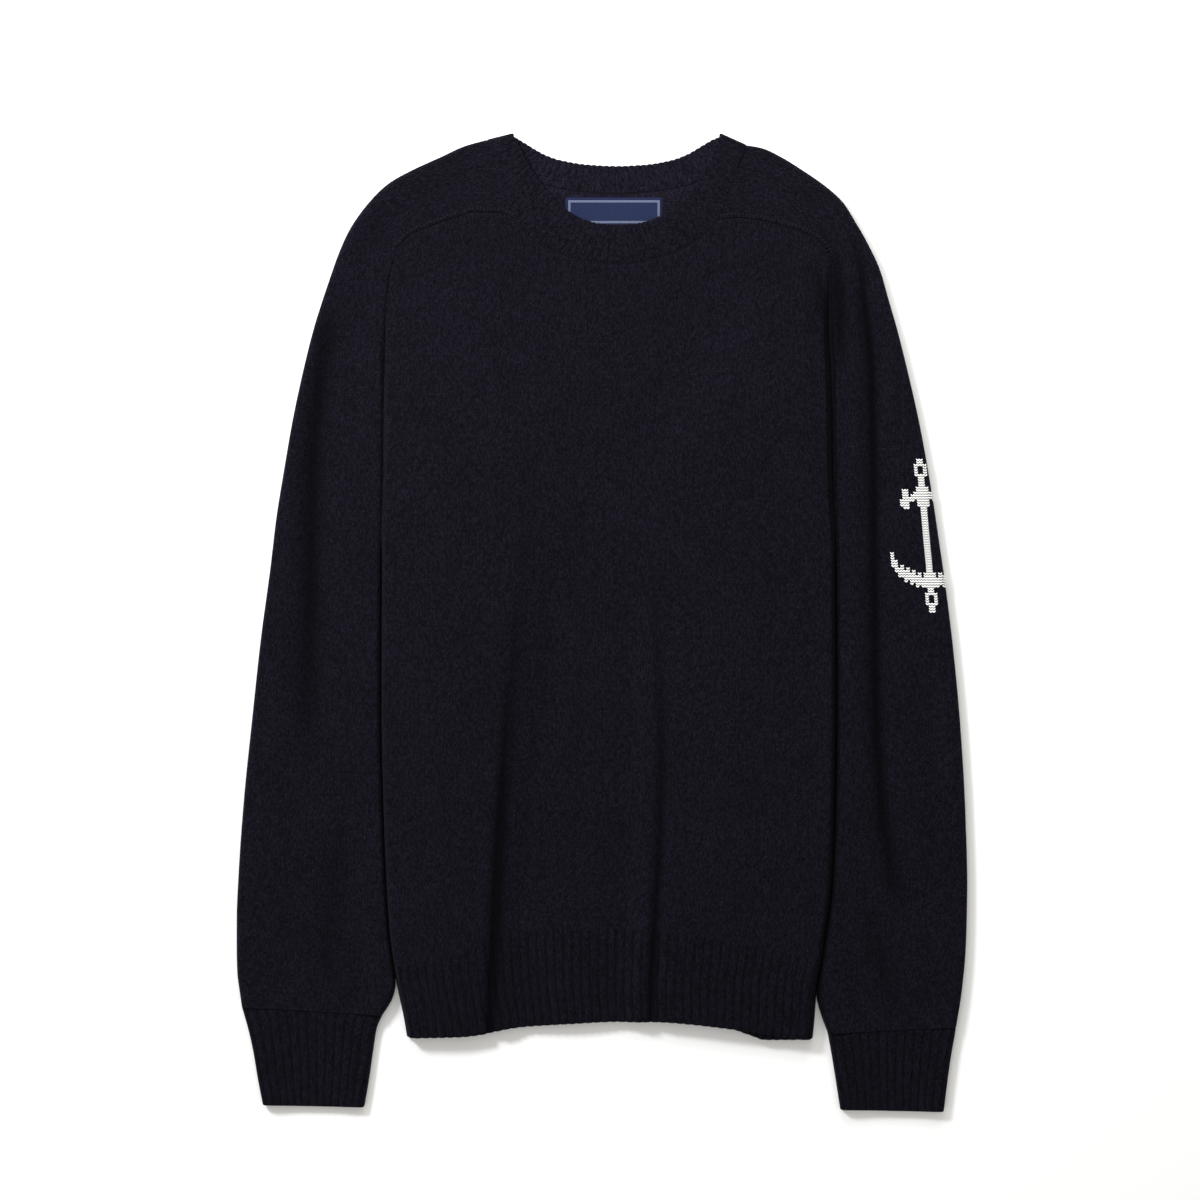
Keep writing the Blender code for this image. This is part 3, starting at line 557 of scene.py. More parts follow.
def body_cloth(parts, bottoms, tops, shares, level, rolled_edge):
    """Middles of a body sheet as (row, column, xyz), with its wales and courses."""
    up = mix(bottoms[None, :], tops[None, :], shares[:, None])
    across = across_body(parts[None, :], up)
    flat = np.stack((across, up, level(across, up)), axis=-1)
    wales = np.repeat(parts[None, :] * BODY_WALES / 2, len(shares), axis=0)
    for end, side in ((0, "right"), (-1, "left")):
        outwards = -INWARDS[side]
        edge = flat[:, end]
        if rolled_edge:
            reach, drop, run = (BODY_FOLD * part for part in fold_over(edge_roll(edge[:, 1])))
        else:
            to_seam = abs(body_edge(side, edge[:, 1]) - edge[:, 0]) - SEAM_GAP
            to_seam = ease((edge[:, 1] - BACK_SEAM_FROM) / BACK_SEAM_REACH) * (to_seam - BACK_STRIP)
            reach = (BACK_STRIP + to_seam)[:, None]
            drop, run = 0.0 * reach, reach
        strip = np.repeat(edge[:, None, :], reach.shape[1], axis=1)
        strip[..., 0] += outwards * reach
        strip[..., 2] -= drop
        strip_wales = wales[:, end, None] + outwards * run / WALE
        if end:
            flat, wales = np.hstack((flat, strip)), np.hstack((wales, strip_wales))
        else:
            flat, wales = np.hstack((strip[:, ::-1], flat)), np.hstack((strip_wales[:, ::-1], wales))
    return flat, counted(wales, flat[..., 1] / COURSE)


plain_knit = (wool("navy_knit_right_side", NAVY, "knit"), wool("navy_knit_wrong_side", INSIDE_NAVY, "purl"))
back_parts = np.linspace(-1.0, 1.0, BACK_GRID[0])
back_shares = edged_rows(BACK_GRID[1], BACK_LENGTH)
middles, stitches = body_cloth(back_parts, settle(back_parts, HEM_TOP),
                               settle(back_parts, BACK_TOP) + BACK_LAP, back_shares, under_level, False)
thick = WALL / 2 * rim(BACK_LENGTH * np.minimum(back_shares, 1.0 - back_shares))[:, None]
knit_back = knit_piece("knit_back", middles, -facing(middles), thick, thick, stitches, plain_knit)
place_piece(knit_back, "back")

# ---- Tucked sides --------------------------------------------------------------------
# The body is a tube wider than what shows: at each side both layers turn under it and
# end in the tube's own side fold. Each is one sheet doubled over, flat on the table.
BACK_HEM = rows(Point,
    (-145.5, -310), (-88, -307), (-69, -303), (-24, -299.5), (11, -298), (43.5, -298), (88.5, -302),
    (111, -309), (122, -312.5), (141, -312.5), (155, -312))
TUCK_BOTTOM = -313.0
TUCK_ROWS = 60
TUCK_COLUMNS = 26
TUCK_FOLD_STEPS = 8
TUCK_GAP = 0.15
TUCK_GAP_FROM = 76.0
TUCK_GAP_REACH = 16.0
TUCK_ABOVE_HEM = 1.5
TUCK_CUTS = {"right": (0.150, 0.544), "left": (0.215, 0.544)}


def tucked_side(side):
    """One side of the body's tube, doubled over inwards under the back."""
    up = np.linspace(TUCK_BOTTOM, SHOULDER, TUCK_ROWS)
    inwards = INWARDS[side]
    under_roll = BODY_FOLD + WALL / 2 + SEAM_GAP
    gap = mix(under_roll, TUCK_GAP, ease((up - TUCK_GAP_FROM) / TUCK_GAP_REACH))
    outer = body_edge(side, up) + inwards * gap
    thick = tuck_thickness(up)
    wall = thick * WALL / TUCK_DOUBLE / 2
    radius = (thick - 2.0 * wall) / 2
    turned = tuck_end(side, up) - inwards * (radius + wall)
    flat_shares = np.linspace(0.0, 1.0, TUCK_COLUMNS)
    cols = [(mix(outer, turned, share), wall) for share in flat_shares]
    for turn in math.pi * np.arange(1, TUCK_FOLD_STEPS) / TUCK_FOLD_STEPS:
        cols.append((turned + inwards * radius * math.sin(turn), wall + radius * (1.0 - math.cos(turn))))
    cols += [(mix(turned, outer, share), thick - wall) for share in flat_shares]
    middles = np.stack([np.stack((across, up, level), axis=-1) for across, level in cols], axis=1)
    hem = profile(BACK_HEM, "up", middles[..., 0], "across") + TUCK_ABOVE_HEM
    middles[..., 1] = np.maximum(middles[..., 1], hem + (middles[..., 1] - TUCK_BOTTOM) * 0.01)
    stitches = counted(lengths(middles, 1) / WALE, middles[..., 1] / COURSE)
    name, wall = f"knit_tucked_side_{side}", wall[:, None]
    return knit_piece(name, middles, -facing(middles, 0.05), wall, wall, stitches, plain_knit)


for side, cut in TUCK_CUTS.items():
    piece = tucked_side(side)
    place_piece(piece, f"tucked_side_{side}")

# ---- Front ---------------------------------------------------------------------------
# The front panel in the same stockinette. Its side edges roll over the tucks beside the
# sleeves, and two long soft valleys run down it where the tucks end beneath.
FRONT_TOP = rows(Point,
    (-153, 281.5), (-143, 291.5), (-127.5, 298), (-110, 304), (-94.5, 308), (-79, 308),
    (-66, 303.5), (-58.5, 293), (-46.5, 284), (-30, 276.5), (-9, 271), (11, 269), (31.5, 271),
    (52.5, 277), (69, 285.5), (80, 293.5), (88, 302.5), (101, 304), (115, 302.5), (128, 300),
    (142.5, 296), (154.5, 291.5), (165, 284), (171, 275))
BODY_FOLDS = {
    "middle_valley": crease(
        (-14, -95, 0, 12), (-16, -180, 0.6, 10), (-16, -235, 0.5, 9), (-15, -300, 0, 9)),
    "side_valley_left": crease(
        (118, -60, 0, 14), (116, -150, 0.45, 12), (112, -235, 0.4, 11), (110, -300, 0, 11)),
    "swell_right": crease(
        (-112, 200, 0, 30), (-112, 60, -0.7, 28), (-118, -160, -1.1, 24), (-118, -312, -0.7, 20)),
    "swell_middle": crease(
        (-4, 120, 0, 45), (-8, -20, -1.7, 34), (-16, -180, -2.4, 30), (-22, -312, -2.2, 30)),
    "swell_left": crease(
        (104, 170, 0, 34), (104, 40, -0.8, 32), (96, -150, -1.3, 30), (90, -312, -1.1, 28)),
    "by_left_armhole": crease(
        (150, 288, 0, 12), (151, 255, -1.7, 10), (152, 215, -1.9, 10), (152, 150, -0.9, 12),
        (150, 80, 0, 12)),
    "chest_right": crease((-96, 268, 0, 22), (-104, 215, -0.8, 26), (-110, 130, 0, 26)),
    "chest_left": crease((112, 268, 0, 22), (118, 210, -0.8, 26), (118, 120, 0, 26)),
}
ARMHOLE_DIP = {
    "left": crease(
        (160, 272, 0, 4), (162.5, 260, 0.7, 4.5), (166, 240, 1.1, 5), (169.5, 220, 1.2, 5),
        (171, 200, 1, 4.5), (172, 160, 0, 4)),
}
FRONT_LENGTH = 530.0
FRONT_GRID = (231, 128)
FRONT_GAP = 0.4
EDGE_LOFT = 0.5
MIDDLE_LOFT = 1.2
SHOULDER_LOFT = 0.9
CALM_AT_SHOULDER = 30.0
CALM_AT_SEAM = 26.0
CALM_AT_SIDE = 18.0
BODY_RIPPLE = (46.0, 0.5)
# Painted shade: how deep a crease or the armhole dip is painted fully dark, and how far down a rolled edge;
# darkest at the left crevice, away from the lamp.
CREASE_SHADE_DEPTH = 2.5
CREASE_SHADE_POWER = 1.8
DIP_SHADE_DEPTH = 1.6
ROLL_SHADE_ANGLE = 1.3
ROLL_SHADE_FROM = 0.25
ROLL_SHADE_STEPS = 2.6
CREVICE_SHADE_PAINT = {"left": 1.0, "right": 0.1}


def ripple(across, up, size, height):
    """Small unevenness of a cloth that has been laid down by hand."""
    across, up = np.broadcast_arrays(across, up)
    lift = [noise.noise((x / size, y / size, 0.7)) for x, y in zip(across.flat, up.flat)]
    return height * np.reshape(lift, across.shape)


def upper_level(across, up):
    """Middle of the upper sheet, which lies on the lower one with a little loft."""
    ends = tuck_end("right", up), tuck_end("left", up)
    to_side = 1.0 - abs(across - sum(ends) / 2) / ((ends[1] - ends[0]) / 2)
    loft = mix(EDGE_LOFT, MIDDLE_LOFT, ease(to_side))
    loft = mix(loft, SHOULDER_LOFT, ease((up - SHOULDER) / CALM_AT_SHOULDER))
    away = ease((profile(FRONT_TOP, "up", across, "across") - up) / CALM_AT_SEAM)
    for side, inwards in INWARDS.items():
        away = away * ease(inwards * (across - roll_start(side, up)) / CALM_AT_SIDE)
    level = under_level(across, up) + LAYER_PITCH + loft
    level = level + away * (ripple(across, up, *BODY_RIPPLE) - folds(BODY_FOLDS, across, up))
    return level - folds(ARMHOLE_DIP, across, up)


def shade_painted_down_edge(up):
    """Painted shade down a rolled edge towards the crevice: darker where the edge rolls further over."""
    steps = ease(np.arange(1, FOLD_STEPS + 1) / ROLL_SHADE_STEPS)
    return np.clip(edge_roll(up) / ROLL_SHADE_ANGLE - ROLL_SHADE_FROM, 0.0, 1.0)[:, None] * steps


def shade_painted_on_front(middles):
    """Painted shade on the front: how far it is darkened in its creases, in the armhole dip and down its
    rolled edges.
    """
    across, up = middles[..., 0], middles[..., 1]
    shade_paint_amounts = np.clip(folds(BODY_CREASES, across, up) / CREASE_SHADE_DEPTH, 0.0, 1.0) ** CREASE_SHADE_POWER
    shade_paint_amounts = shade_paint_amounts + folds(ARMHOLE_DIP, across, up) / DIP_SHADE_DEPTH
    down = shade_painted_down_edge(up[:, 0])
    shade_paint_amounts[:, -FOLD_STEPS:] += CREVICE_SHADE_PAINT["left"] * down
    shade_paint_amounts[:, :FOLD_STEPS] += CREVICE_SHADE_PAINT["right"] * down[:, ::-1]
    return np.clip(shade_paint_amounts, 0.0, 1.0)


front_parts = np.linspace(-1.0, 1.0, FRONT_GRID[0])
front_shares = edged_rows(FRONT_GRID[1], FRONT_LENGTH, bottom=False)
middles, stitches = body_cloth(front_parts, settle(front_parts, HEM_TOP),
                               settle(front_parts, FRONT_TOP) - FRONT_GAP, front_shares, upper_level, True)
thick = WALL / 2 * rim(FRONT_LENGTH * (1.0 - front_shares))[:, None]
knit_front = knit_piece("knit_front", middles, facing(middles), thick, thick, stitches, plain_knit,
                        shade_painted_on_front(middles))
place_piece(knit_front, "front")

# ---- Hem ribs ------------------------------------------------------------------------
# The welt at the bottom of the front and of the back: rib of two plain wales and one
# purl, knitted on the same stitches as the body and drawn in by the rib.
FRONT_HEM = rows(Point,
    (-145.5, -311), (-106.5, -310), (-88, -308), (-69, -304), (-24, -300.5), (11, -299),
    (43.5, -299), (66, -300.5), (88.5, -303), (111, -306), (133.5, -309.5), (157.5, -313))
HEM_RIBS = 48
HEM_WALES = 3.0
HEM_LENGTH = 72.0
HEM_PANEL_STEPS = 171
RIB_RELIEF = 0.6
BACK_RIB_RELIEF = 0.35
RIB_FLATTENS = 9.0
GUTTER_HALF = 0.04
RIB_FLANK = 0.27
CREST_DIP = 0.16
CREST_DIP_WIDTH = 0.05
RIB_DRAW = 0.35
GUTTER_DEPTH = 0.35
RIB_NAVY = (0.0051, 0.0046, 0.0082)


def rib_rise(wales, rib_wales):
    """Height of a rib across its wales, from 0 in the gutter to 1 along its crest."""
    beat = (wales / rib_wales) % 1.0
    clear = np.minimum(beat, 1.0 - beat)
    dip = CREST_DIP * np.exp(-((clear - 0.5) / CREST_DIP_WIDTH) ** 2)
    return ease((clear - GUTTER_HALF) / RIB_FLANK) - dip


def hem_rib(name, line, level, rolled_edge, row_count, per_rib, relief, cloths):
    """The welt of one panel, with a rounded cast-on edge drawn up a little by each rib."""
    parts = np.linspace(-1.0, 1.0, HEM_RIBS * per_rib + 1)
    panel = np.linspace(-1.0, 1.0, HEM_PANEL_STEPS)
    tops = np.interp(parts, panel, settle(panel, HEM_TOP))
    rise = rib_rise((parts + 1.0) * HEM_RIBS * HEM_WALES / 2, HEM_WALES)
    shares = edged_rows(row_count, HEM_LENGTH, top=False)
    bottoms = settle(parts, line) - RIB_DRAW * rise
    middles, stitches = body_cloth(parts, bottoms, tops, shares, level, rolled_edge)
    stitches[..., 0] = (stitches[..., 0] / BODY_WALES + 0.5) * HEM_RIBS * HEM_WALES
    from_body = ease((1.0 - shares) * HEM_LENGTH / RIB_FLATTENS)[:, None]
    lift = relief * (rib_rise(stitches[..., 0], HEM_WALES) - GUTTER_DEPTH) * from_body
    edge = rim(HEM_LENGTH * shares)[:, None]
    piece = knit_piece(name, middles, facing(middles), (WALL / 2 + lift) * edge, WALL / 2 * edge,
                       stitches, cloths, shade_painted_on_front(middles) if rolled_edge else None)
    place_piece(piece, name.removeprefix("knit_"))
    return piece


rib_knit = (wool("navy_rib_right_side", RIB_NAVY, "knit", rib_wales=3, gutter=0.58),
            wool("navy_rib_wrong_side", INSIDE_NAVY, "knit", rib_wales=3, gutter=0.6))
hem_front = hem_rib("knit_hem_rib_front", FRONT_HEM, upper_level, True, 22, 10, RIB_RELIEF, rib_knit)
hem_back = hem_rib("knit_hem_rib_back", BACK_HEM, under_level, False, 16, 8, BACK_RIB_RELIEF,
                   rib_knit[::-1])

# ---- Sleeves -------------------------------------------------------------------------
# Each sleeve is one shaped tube of stockinette, closed by a seam under the arm, and its
# top runs on over the shoulder as a saddle between the front and the back to the collar.
# Each row of a table is a cut across the tube, with its roll over at the body in degrees.
Section = namedtuple("Section", "front_x front_y fold_x fold_y roll back_x back_y")


def sections(*values):
    """A sleeve's table. The back seam lies right under the front one unless it is given."""
    return [Section(*row, *row[:7 - len(row)]) for row in values]


RIGHT_SLEEVE = sections(
    (-165, -294.5, -270, -288.5, 180), (-157, -281, -272, -275, 180),
    (-155, -271, -273.5, -263, 180), (-157, -254.5, -274, -245.5, 180),
    (-160, -230.5, -274, -223, 180), (-162.5, -193, -272.5, -187, 180),
    (-164.5, -133, -268.5, -131.5, 180), (-166, -73, -262.5, -73, 180), (-166, -13, -256, -13, 180),
    (-165.5, 43, -248.5, 43, 180), (-165.3, 56, -247, 56, 90), (-164.8, 77, -244.5, 77, 90),
    (-164, 114.5, -238.5, 114.5, 90), (-163.6, 152, -232, 152, 90),
    (-163.5, 189.5, -224, 189.5, 90), (-163, 219.5, -216.5, 219.5, 65),
    (-162, 239, -210.5, 239, 46), (-160.5, 254, -205, 255.5, 34), (-157.5, 269, -198, 275.5, 22),
    (-153, 281.5, -190, 293.5, 15, -154.5, 279.5), (-143, 291.5, -177, 312.5, 12, -148.5, 290),
    (-127.5, 298, -160.5, 329, 12, -136.5, 300.5), (-110, 304, -141, 340, 12, -121, 311.5),
    (-94.5, 308, -121.5, 349, 12, -104, 322), (-79, 308, -103, 357.5, 12, -87, 332),
    (-66, 303.5, -87, 362, 12, -69, 341.5))
LEFT_SLEEVE = sections(
    (169.5, -308, 265.5, -303.5, 180), (163, -289, 268.5, -286, 180), (161, -279, 270.5, -271, 180),
    (164, -257, 272.5, -250, 180), (168, -230.5, 273.5, -227, 180), (172, -200.5, 274, -197, 180),
    (174.5, -140.5, 272.5, -140.5, 180), (175.5, -80.5, 269, -80.5, 180),
    (175.5, -20.5, 263.5, -20.5, 180), (175, 43, 255.5, 43, 180), (174.7, 56, 253.5, 56, 90),
    (173.9, 77, 250.5, 77, 90), (172.5, 114.5, 244.5, 114.5, 90), (172, 152, 237.5, 152, 90),
    (171.5, 189.5, 229, 189.5, 90), (170, 219.5, 221.5, 219.5, 65), (170, 242, 215, 242, 46),
    (170, 260, 208.5, 264.5, 30), (171, 275, 200, 283, 18, 172.5, 273.5),
    (165, 284, 191, 299, 12, 168, 284.5), (154.5, 291.5, 180, 316, 12, 157.5, 297.5),
    (142.5, 296, 166, 328.5, 12, 143, 308), (128, 300, 150, 339.5, 12, 127.5, 317.5),
    (115, 302.5, 134, 349.5, 12, 115, 326), (101, 304, 120, 356, 12, 103, 333.5),
    (88, 302.5, 109, 358, 12, 91.5, 341))
SLEEVE_FOLDS = {
    "right": {
        "outer_valley": crease(
            (-204, 240, 0, 8), (-207, 215, 0.9, 8), (-216, 138, 1.3, 8), (-219, 18, 1.3, 8),
            (-221, -54, 0.9, 10), (-222, -110, 0, 10)),
        "inner_swell": crease(
            (-184, 225, 0, 12), (-190, 120, -1.5, 13), (-194, -60, -1.4, 16), (-200, -230, 0, 20)),
        "lower_valley": crease(
            (-196, -130, 0, 9), (-200, -190, 0.5, 9), (-206, -250, 0.5, 8), (-209, -285, 0, 8)),
        "outer_swell": crease(
            (-232, 150, 0, 10), (-240, 40, -0.9, 12), (-246, -90, -1.2, 15), (-248, -220, -0.8, 15),
            (-246, -285, 0, 12)),
    },
    "left": {
        "outer_valley": crease(
            (189, 292, 0, 4), (193.5, 270, 0.9, 4), (196.5, 242, 1.3, 4.5), (200, 212, 1.5, 4.4),
            (202.5, 180, 1.6, 4.4), (204, 42, 1.6, 4.8), (205, -54, 1.6, 5.2),
            (209, -130, 1.5, 5.6), (218, -192, 1, 7), (229, -225, 0, 9)),
        "inner_swell": crease(
            (183, 290, 0, 5), (186.5, 264, -1.2, 5), (189, 232, -1.6, 5.5), (190, 185, -1.7, 6.5),
            (190.5, 42, -1.6, 7), (191, -60, -1.5, 8), (196, -190, -0.8, 12), (204, -270, 0, 14)),
        "outer_swell": crease(
            (210, 220, 0, 7), (216, 150, -1.2, 9), (223, 20, -1.5, 11), (230, -110, -1.4, 13),
            (242, -240, -0.6, 14), (246, -290, 0, 12)),
        "shoulder_hollow": crease(
            (163, 303, 0, 8), (169, 283, 0.7, 8), (175, 255, 1.2, 8), (178, 222, 1.1, 7),
            (178, 180, 0, 6)),
        "cuff_valley": crease(
            (200, -205, 0, 8), (206, -245, 0.6, 8), (214, -275, 0.5, 7), (218, -300, 0, 7)),
    },
}
SLEEVE_INNER_FOLD = 2.9
SLEEVE_OUTER_FOLD = 2.6
SADDLE_FOLD = 1.75
SADDLE_FROM = 335.0
SADDLE_REACH = 22.0
FOLD_REACH = 24.0
CALM_AT_FOLD = 12.0
OPEN_SEAM_GAP = 0.15
UNDERARM = 56.0
UNDERARM_REACH = 12.0
SLEEVE_RIPPLE = (34.0, 0.55)
# Painted shade: how deep a sleeve valley is painted fully dark.
SLEEVE_SHADE_DEPTH = 1.5
UPPER_LAYER_FROM = 3.0
SLEEVE_ROWS = 190
SLEEVE_TOP_STEPS = 28
SLEEVE_UNDER_STEPS = 16


def sleeve_cloth(table, at, inner_fold, outer_folds, middle_level, top_steps, under_steps, sink=None):
    """Middles of a sleeve or cuff, each row running from the front seam over the outer
    fold and under to the back seam, with how far round it each column lies."""
    ends = np.array([[row.front_x + row.fold_x, row.front_y + row.fold_y] for row in table]) / 2
    along = lengths(ends)
    at = at * along[-1]
    row = {name: curve(along, column(table, name), at) for name in Section._fields}
    front, fold, back = (np.stack((row[f"{line}_x"], row[f"{line}_y"]), axis=-1)
                         for line in ("front", "fold", "back"))
    outwards = (fold - front) / np.linalg.norm(fold - front, axis=-1, keepdims=True)
    roll = np.radians(row["roll"])
    beside_body = np.minimum(row["roll"] / 90.0, 1.0)
    inner_level = mix(middle_level, FLOOR_LAYER + 2.0 * inner_fold, beside_body)
    outer_fold = outer_folds(row["fold_y"])
    outer_level = FLOOR_LAYER + 2.0 * outer_fold
    clear = crevice(row["front_y"]) * beside_body
    front = front + outwards * clear[:, None]
    start = front + outwards * ((inner_fold + WALL / 2) * np.sin(np.minimum(roll, math.pi / 2)))[:, None]
    end = fold - outwards * (outer_fold + WALL / 2)[:, None]
    width = np.linalg.norm(end - start, axis=-1)
    cols = []

    def add_column(place, level):
        """Add a column of the grid, with a place and a level for each row."""
        cols.append(np.stack((place[:, 0], place[:, 1], level), axis=-1))

    reach, drop, _ = fold_over(roll)
    for step in reversed(range(FOLD_STEPS)):
        add_column(start - outwards * (inner_fold * reach[:, step])[:, None],
                   inner_level - inner_fold * drop[:, step])
    for share in np.linspace(0.0, 1.0, top_steps + 1):
        place = mix(start, end, share)
        from_inner, from_outer = share * width, (1.0 - share) * width
        level = middle_level + (inner_level - middle_level) * ease(1.0 - from_inner / FOLD_REACH)
        level = level + (outer_level - middle_level) * ease(1.0 - from_outer / FOLD_REACH)
        if sink is not None:
            away = ease(from_inner / CALM_AT_FOLD) * ease(from_outer / CALM_AT_FOLD)
            level = level - away * sink(place[:, 0], place[:, 1])
            level = np.maximum(level, FLOOR_LAYER + WALL + OPEN_SEAM_GAP)
        add_column(place, level)
    for turn in math.pi * np.arange(1, FOLD_STEPS + 1) / FOLD_STEPS:
        add_column(end + outwards * (outer_fold * math.sin(turn))[:, None],
                   outer_level - outer_fold * (1.0 - math.cos(turn)))
    closed_seam = front + outwards * (inner_fold + WALL / 2 + SEAM_GAP)
    open_seam = back + outwards * (clear + OPEN_SEAM_GAP)[:, None]
    seam = mix(closed_seam, open_seam, ease((row["front_y"] - UNDERARM) / UNDERARM_REACH)[:, None])
    for share in np.linspace(0.0, 1.0, under_steps + 1)[1:]:
        add_column(mix(end, seam, share), np.full(len(at), FLOOR_LAYER))
    middles = np.stack(cols, axis=1)
    run = lengths(middles, 1)
    centre = run[:, FOLD_STEPS:FOLD_STEPS + top_steps + 1].mean(axis=1, keepdims=True)
    return middles, run - centre, at[:, None]


def sleeve_outer_fold(up):
    """Radius of a sleeve's outer fold, which is tighter along the saddle."""
    return mix(SLEEVE_OUTER_FOLD, SADDLE_FOLD, ease((up - SADDLE_FROM) / SADDLE_REACH))


def make_sleeve(side, table):
    """A sleeve in one with its saddle, from the cuff up to the collar. Besides the piece,
    the grid of its outside, with its normals, and its stitches come back."""

    def sink(across, up):
        """How far the sleeve's folds and its unevenness sink its top."""
        return folds(SLEEVE_FOLDS[side], across, up) - ripple(across, up, *SLEEVE_RIPPLE)

    shares = np.linspace(0.0, 1.0, SLEEVE_ROWS)
    middles, run, at = sleeve_cloth(table, shares, SLEEVE_INNER_FOLD, sleeve_outer_fold,
                                    TOP_SEAM_LEVEL, SLEEVE_TOP_STEPS, SLEEVE_UNDER_STEPS, sink)
    stitches = counted(run / WALE, at / COURSE)
    normals = facing(middles)
    # Painted shade: the sleeve's top is darkened in its valleys, and its inner edge down into the crevice.
    valleys = {name: fold for name, fold in SLEEVE_FOLDS[side].items() if max(column(fold, "depth")) > 0}
    on_top = middles[..., 2] > UPPER_LAYER_FROM
    shade_paint_amounts = folds(valleys, middles[..., 0], middles[..., 1]) / SLEEVE_SHADE_DEPTH * on_top
    shade_paint_amounts[:, :FOLD_STEPS] += CREVICE_SHADE_PAINT[side] * shade_painted_down_edge(middles[:, 0, 1])[:, ::-1]
    piece = knit_piece(f"knit_sleeve_{side}", middles, normals, WALL / 2, WALL / 2, stitches, plain_knit,
                       np.clip(shade_paint_amounts, 0.0, 1.0))
    place_piece(piece, f"sleeve_{side}")
    return piece, np.concatenate((middles + normals * WALL / 2, normals), axis=-1), stitches


right_sleeve, _, _ = make_sleeve("right", RIGHT_SLEEVE)
left_sleeve, left_outside, left_stitches = make_sleeve("left", LEFT_SLEEVE)

# ---- Cuffs ---------------------------------------------------------------------------
# The same two-and-one rib, knitted on from the sleeve and narrower than it, so that the
# sleeve blouses a little above it.
RIGHT_CUFF = sections(
    (-178.5, -363.5, -254, -362, 180), (-175, -343, -258, -341.5, 180),
    (-172, -322, -261.5, -320.5, 180), (-169, -303.5, -266, -301, 180),
    (-165, -294.5, -270, -288.5, 180))
LEFT_CUFF = sections(
    (179, -365.5, 256, -367, 180), (175.5, -343, 259, -343, 180), (172.5, -324.5, 262, -322, 180),
    (169.5, -308, 265.5, -303.5, 180))
CUFF_RIBS = 13
CUFF_ROWS = 22
CUFF_STEPS_PER_RIB = 10
CUFF_UNDER_STEPS = 60
CUFF_LENGTH = 70.0
CUFF_FOLD = 2.1
CUFF_LOFT = 0.5
CUFF_FLATTENS = 8.0
TABLE_REACH = (1.2, 2.0)


def make_cuff(side, table):
    """A ribbed cuff, with its ribs standing up on the top and round the folds."""
    shares = edged_rows(CUFF_ROWS, CUFF_LENGTH, top=False)
    top_steps = CUFF_RIBS * CUFF_STEPS_PER_RIB
    middles, run, at = sleeve_cloth(table, shares, CUFF_FOLD, lambda up: np.full(len(up), CUFF_FOLD),
                                    FLOOR_LAYER + LAYER_PITCH + CUFF_LOFT, top_steps, CUFF_UNDER_STEPS)
    top = run[:, FOLD_STEPS + top_steps] - run[:, FOLD_STEPS]
    wales = run / top[:, None] * CUFF_RIBS * HEM_WALES + HEM_WALES / 2
    from_sleeve = ease((1.0 - shares) * CUFF_LENGTH / CUFF_FLATTENS)[:, None]
    off_table = ease((middles[..., 2] - TABLE_REACH[0]) / TABLE_REACH[1])
    lift = RIB_RELIEF * (rib_rise(wales, HEM_WALES) - GUTTER_DEPTH) * from_sleeve * off_table
    edge = rim(CUFF_LENGTH * shares)[:, None]
    piece = knit_piece(f"knit_cuff_{side}", middles, facing(middles), (WALL / 2 + lift) * edge,
                       WALL / 2 * edge, counted(wales, at / COURSE), rib_knit)
    place_piece(piece, f"cuff_{side}")
    return piece


make_cuff("right", RIGHT_CUFF)
make_cuff("left", LEFT_CUFF)

# ---- Collar --------------------------------------------------------------------------
# A band of one-and-one rib, knitted as a ring and linked to the neck, with its free edge
# bound off. It is folded at both shoulders, front half up and back half on the table.
Band = namedtuple("Band", "seam_x seam_y free_x free_y")
COLLAR_FRONT = rows(Band,
    (-87, 362, -67, 367), (-81, 344.5, -61.5, 355), (-74, 326, -55, 342.5),
    (-66, 303.5, -43.5, 326.5), (-58.5, 293, -35, 317), (-46.5, 284, -25.5, 308.5),
    (-30, 276.5, -13.5, 302), (-9, 271, -1.5, 298.8), (11, 269, 11, 298), (31.5, 271, 25, 298.8),
    (52.5, 277, 37.5, 302), (69, 285.5, 49.5, 308), (80, 293.5, 59, 315.5),
    (88, 302.5, 67.5, 324.5), (95, 321, 76.5, 339.5), (102, 339.5, 83, 353), (109, 358, 89, 367))
COLLAR_BACK = rows(Band,
    (109, 358, 89, 367), (100, 349.5, 82.5, 362), (91.5, 341, 74, 357), (79, 333.5, 64.5, 351.5),
    (63, 327.5, 52.5, 347), (35, 323, 32, 343.5), (11, 321.5, 11, 342.5), (-13, 323, -10, 343.5),
    (-40.5, 327.5, -31.5, 347), (-56, 333.5, -43, 351), (-69, 341.5, -52, 356),
    (-78, 352, -60, 361), (-87, 362, -67, 367))
COLLAR_RIB_PITCH = 4.9
COLLAR_WALES = 2.0
PER_COLLAR_RIB = 10
COLLAR_RELIEF = 0.32
COLLAR_FOLD = 1.75
COLLAR_FOLD_STEPS = 12
COLLAR_DOME = 0.55
DOMED_FROM = 0.9
COLLAR_RIB_TIP = 0.5
COLLAR_FLATTENS = 3.0
COLLAR_NAVY = (0.0056, 0.0049, 0.0087)
OUT_SHARES = np.array([0.0, 0.012, 0.035, 0.08, 0.16, 0.28, 0.40, 0.52, 0.64, 0.76, 0.86, 0.925, 0.965,
                       0.99, 1.0])
IN_SHARES = OUT_SHARES[::-1][1:-1]


def along_line(points, along, at):
    """Points of a smooth line, at distances along it."""
    return np.stack([curve(along, points[:, axis], at) for axis in (0, 1)], axis=-1)


